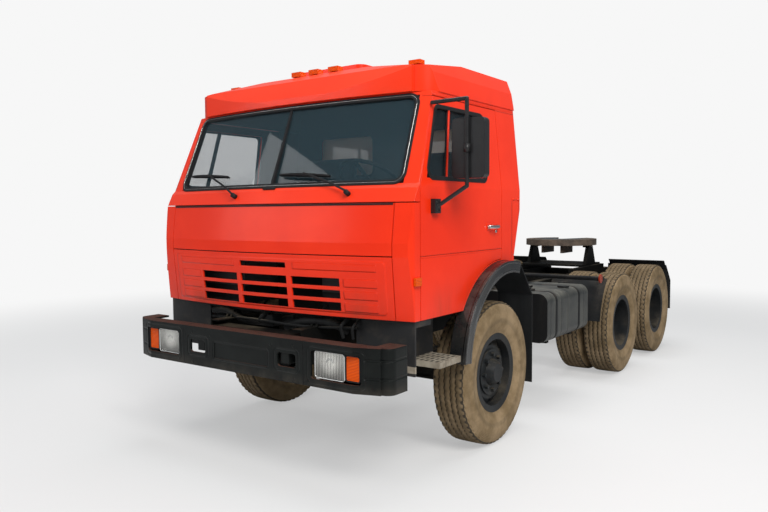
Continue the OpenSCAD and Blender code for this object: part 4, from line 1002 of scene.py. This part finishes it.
def seat_cloth():
    """Woven cloth: two crossed sine ribs, with painted shade in the valleys, faded in clouds."""
    finish = Finish("seat_cloth", Roughness=0.9, Sheen_Weight=0.3, Specular_IOR_Level=0.2)
    x, y, z = finish.truck()
    weave = ((x * 1500.0).math("SINE") * ((y + z) * 1500.0).math("SINE")) * 0.5 + 0.5
    fade = finish.noise(6.0, 4.0, 0.6)
    # Painted shade: the valleys of the weave are painted darker.
    finish.set(Base_Color=finish.mix(weave * 0.5 + fade * 0.5, (0.022, 0.024, 0.028), (0.062, 0.064, 0.070)))
    return finish.relief(weave, 0.0015)


def cushion(middle, half, lift, seams, tip=0.0):
    """A stuffed cushion as a closed grid.

    On the unit square (u, v) the half height is h * (1 - u^8)^(1/4) * (1 - v^8)^(1/4), raised by a
    crown lift * (1 - u^2) * (1 - v^2) and pulled in by 6 mm along each seam at v = s, with width
    exp(-((v - s) / 0.035)^2). The top and bottom sheets meet at the rim; tip leans the cushion
    back round X by that many degrees."""
    n = 49
    spread = np.sin(np.linspace(-1, 1, n) * math.pi / 2)
    u, v = np.meshgrid(spread, spread, indexing="ij")
    full = ((1 - u ** 8) ** 0.25) * ((1 - v ** 8) ** 0.25)
    pull = sum(np.exp(-((v - s) / 0.035) ** 2) + np.exp(-((u - s) / 0.035) ** 2) * 0.6 for s in seams)
    crown = lift * (1 - u ** 2) * (1 - v ** 2) - 0.006 * pull
    thick = [(half[2] + crown * (way > 0)) * full * way for way in (1, -1)]
    vertices = np.vstack([np.stack([u * half[0], v * half[1], z], -1).reshape(-1, 3) for z in thick])
    i, j = np.meshgrid(np.arange(n - 1), np.arange(n - 1), indexing="ij")
    a = (i * n + j).ravel()
    quads = np.stack([a, a + n, a + n + 1, a + 1], -1)
    under = quads[:, ::-1] + n * n
    index = np.arange(2 * n * n)
    grid = index[:n * n].reshape(n, n)
    rim = np.unique(np.concatenate([grid[0], grid[-1], grid[:, 0], grid[:, -1]]))
    index[rim + n * n] = rim
    lean = math.radians(tip)
    turn = np.array([[1, 0, 0], [0, math.cos(lean), math.sin(lean)], [0, -math.sin(lean), math.cos(lean)]])
    return vertices @ turn + at(*middle), index[np.vstack([quads, under])].tolist()


cloth = seat_cloth()
for side, name in ((1, "left"), (-1, "right")):
    seat_x = side * 0.520
    sitting = cushion((seat_x, -0.075, 1.490), (0.238, 0.252, 0.062), 0.016, (-0.5, 0.5))
    leaning = cushion((seat_x, 0.160, 1.872), (0.236, 0.300, 0.050), 0.012, (-0.55, 0.55), -90)
    base = mesh_piece(name + "_seat_cushion", *sitting, cloth)
    rest = mesh_piece(name + "_seat_back", *leaning, cloth)
    seat_frame = [box_part((seat_x - 0.20, -0.28, 1.421), (seat_x + 0.20, 0.15, 1.450)),
                  box_part((seat_x - 0.20, 0.125, 1.45), (seat_x - 0.17, 0.165, 1.62)),
                  box_part((seat_x + 0.17, 0.125, 1.45), (seat_x + 0.20, 0.165, 1.62))]
    piece_of(name + "_seat_frame", seat_frame, black_rubber, "cab", bevel=0.004)
    x0, x1 = sorted((side * 0.4203, side * 0.5647))
    pedestal = box_part((x0, -0.25, 1.1753), (x1, 0.16, 1.4200))
    piece_of(name + "_seat_pedestal", [pedestal], dash, "cab", bevel=0.004)
    for piece in (base, rest):
        add(piece, "cab")
    if name == "left":
        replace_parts(base, "seats")
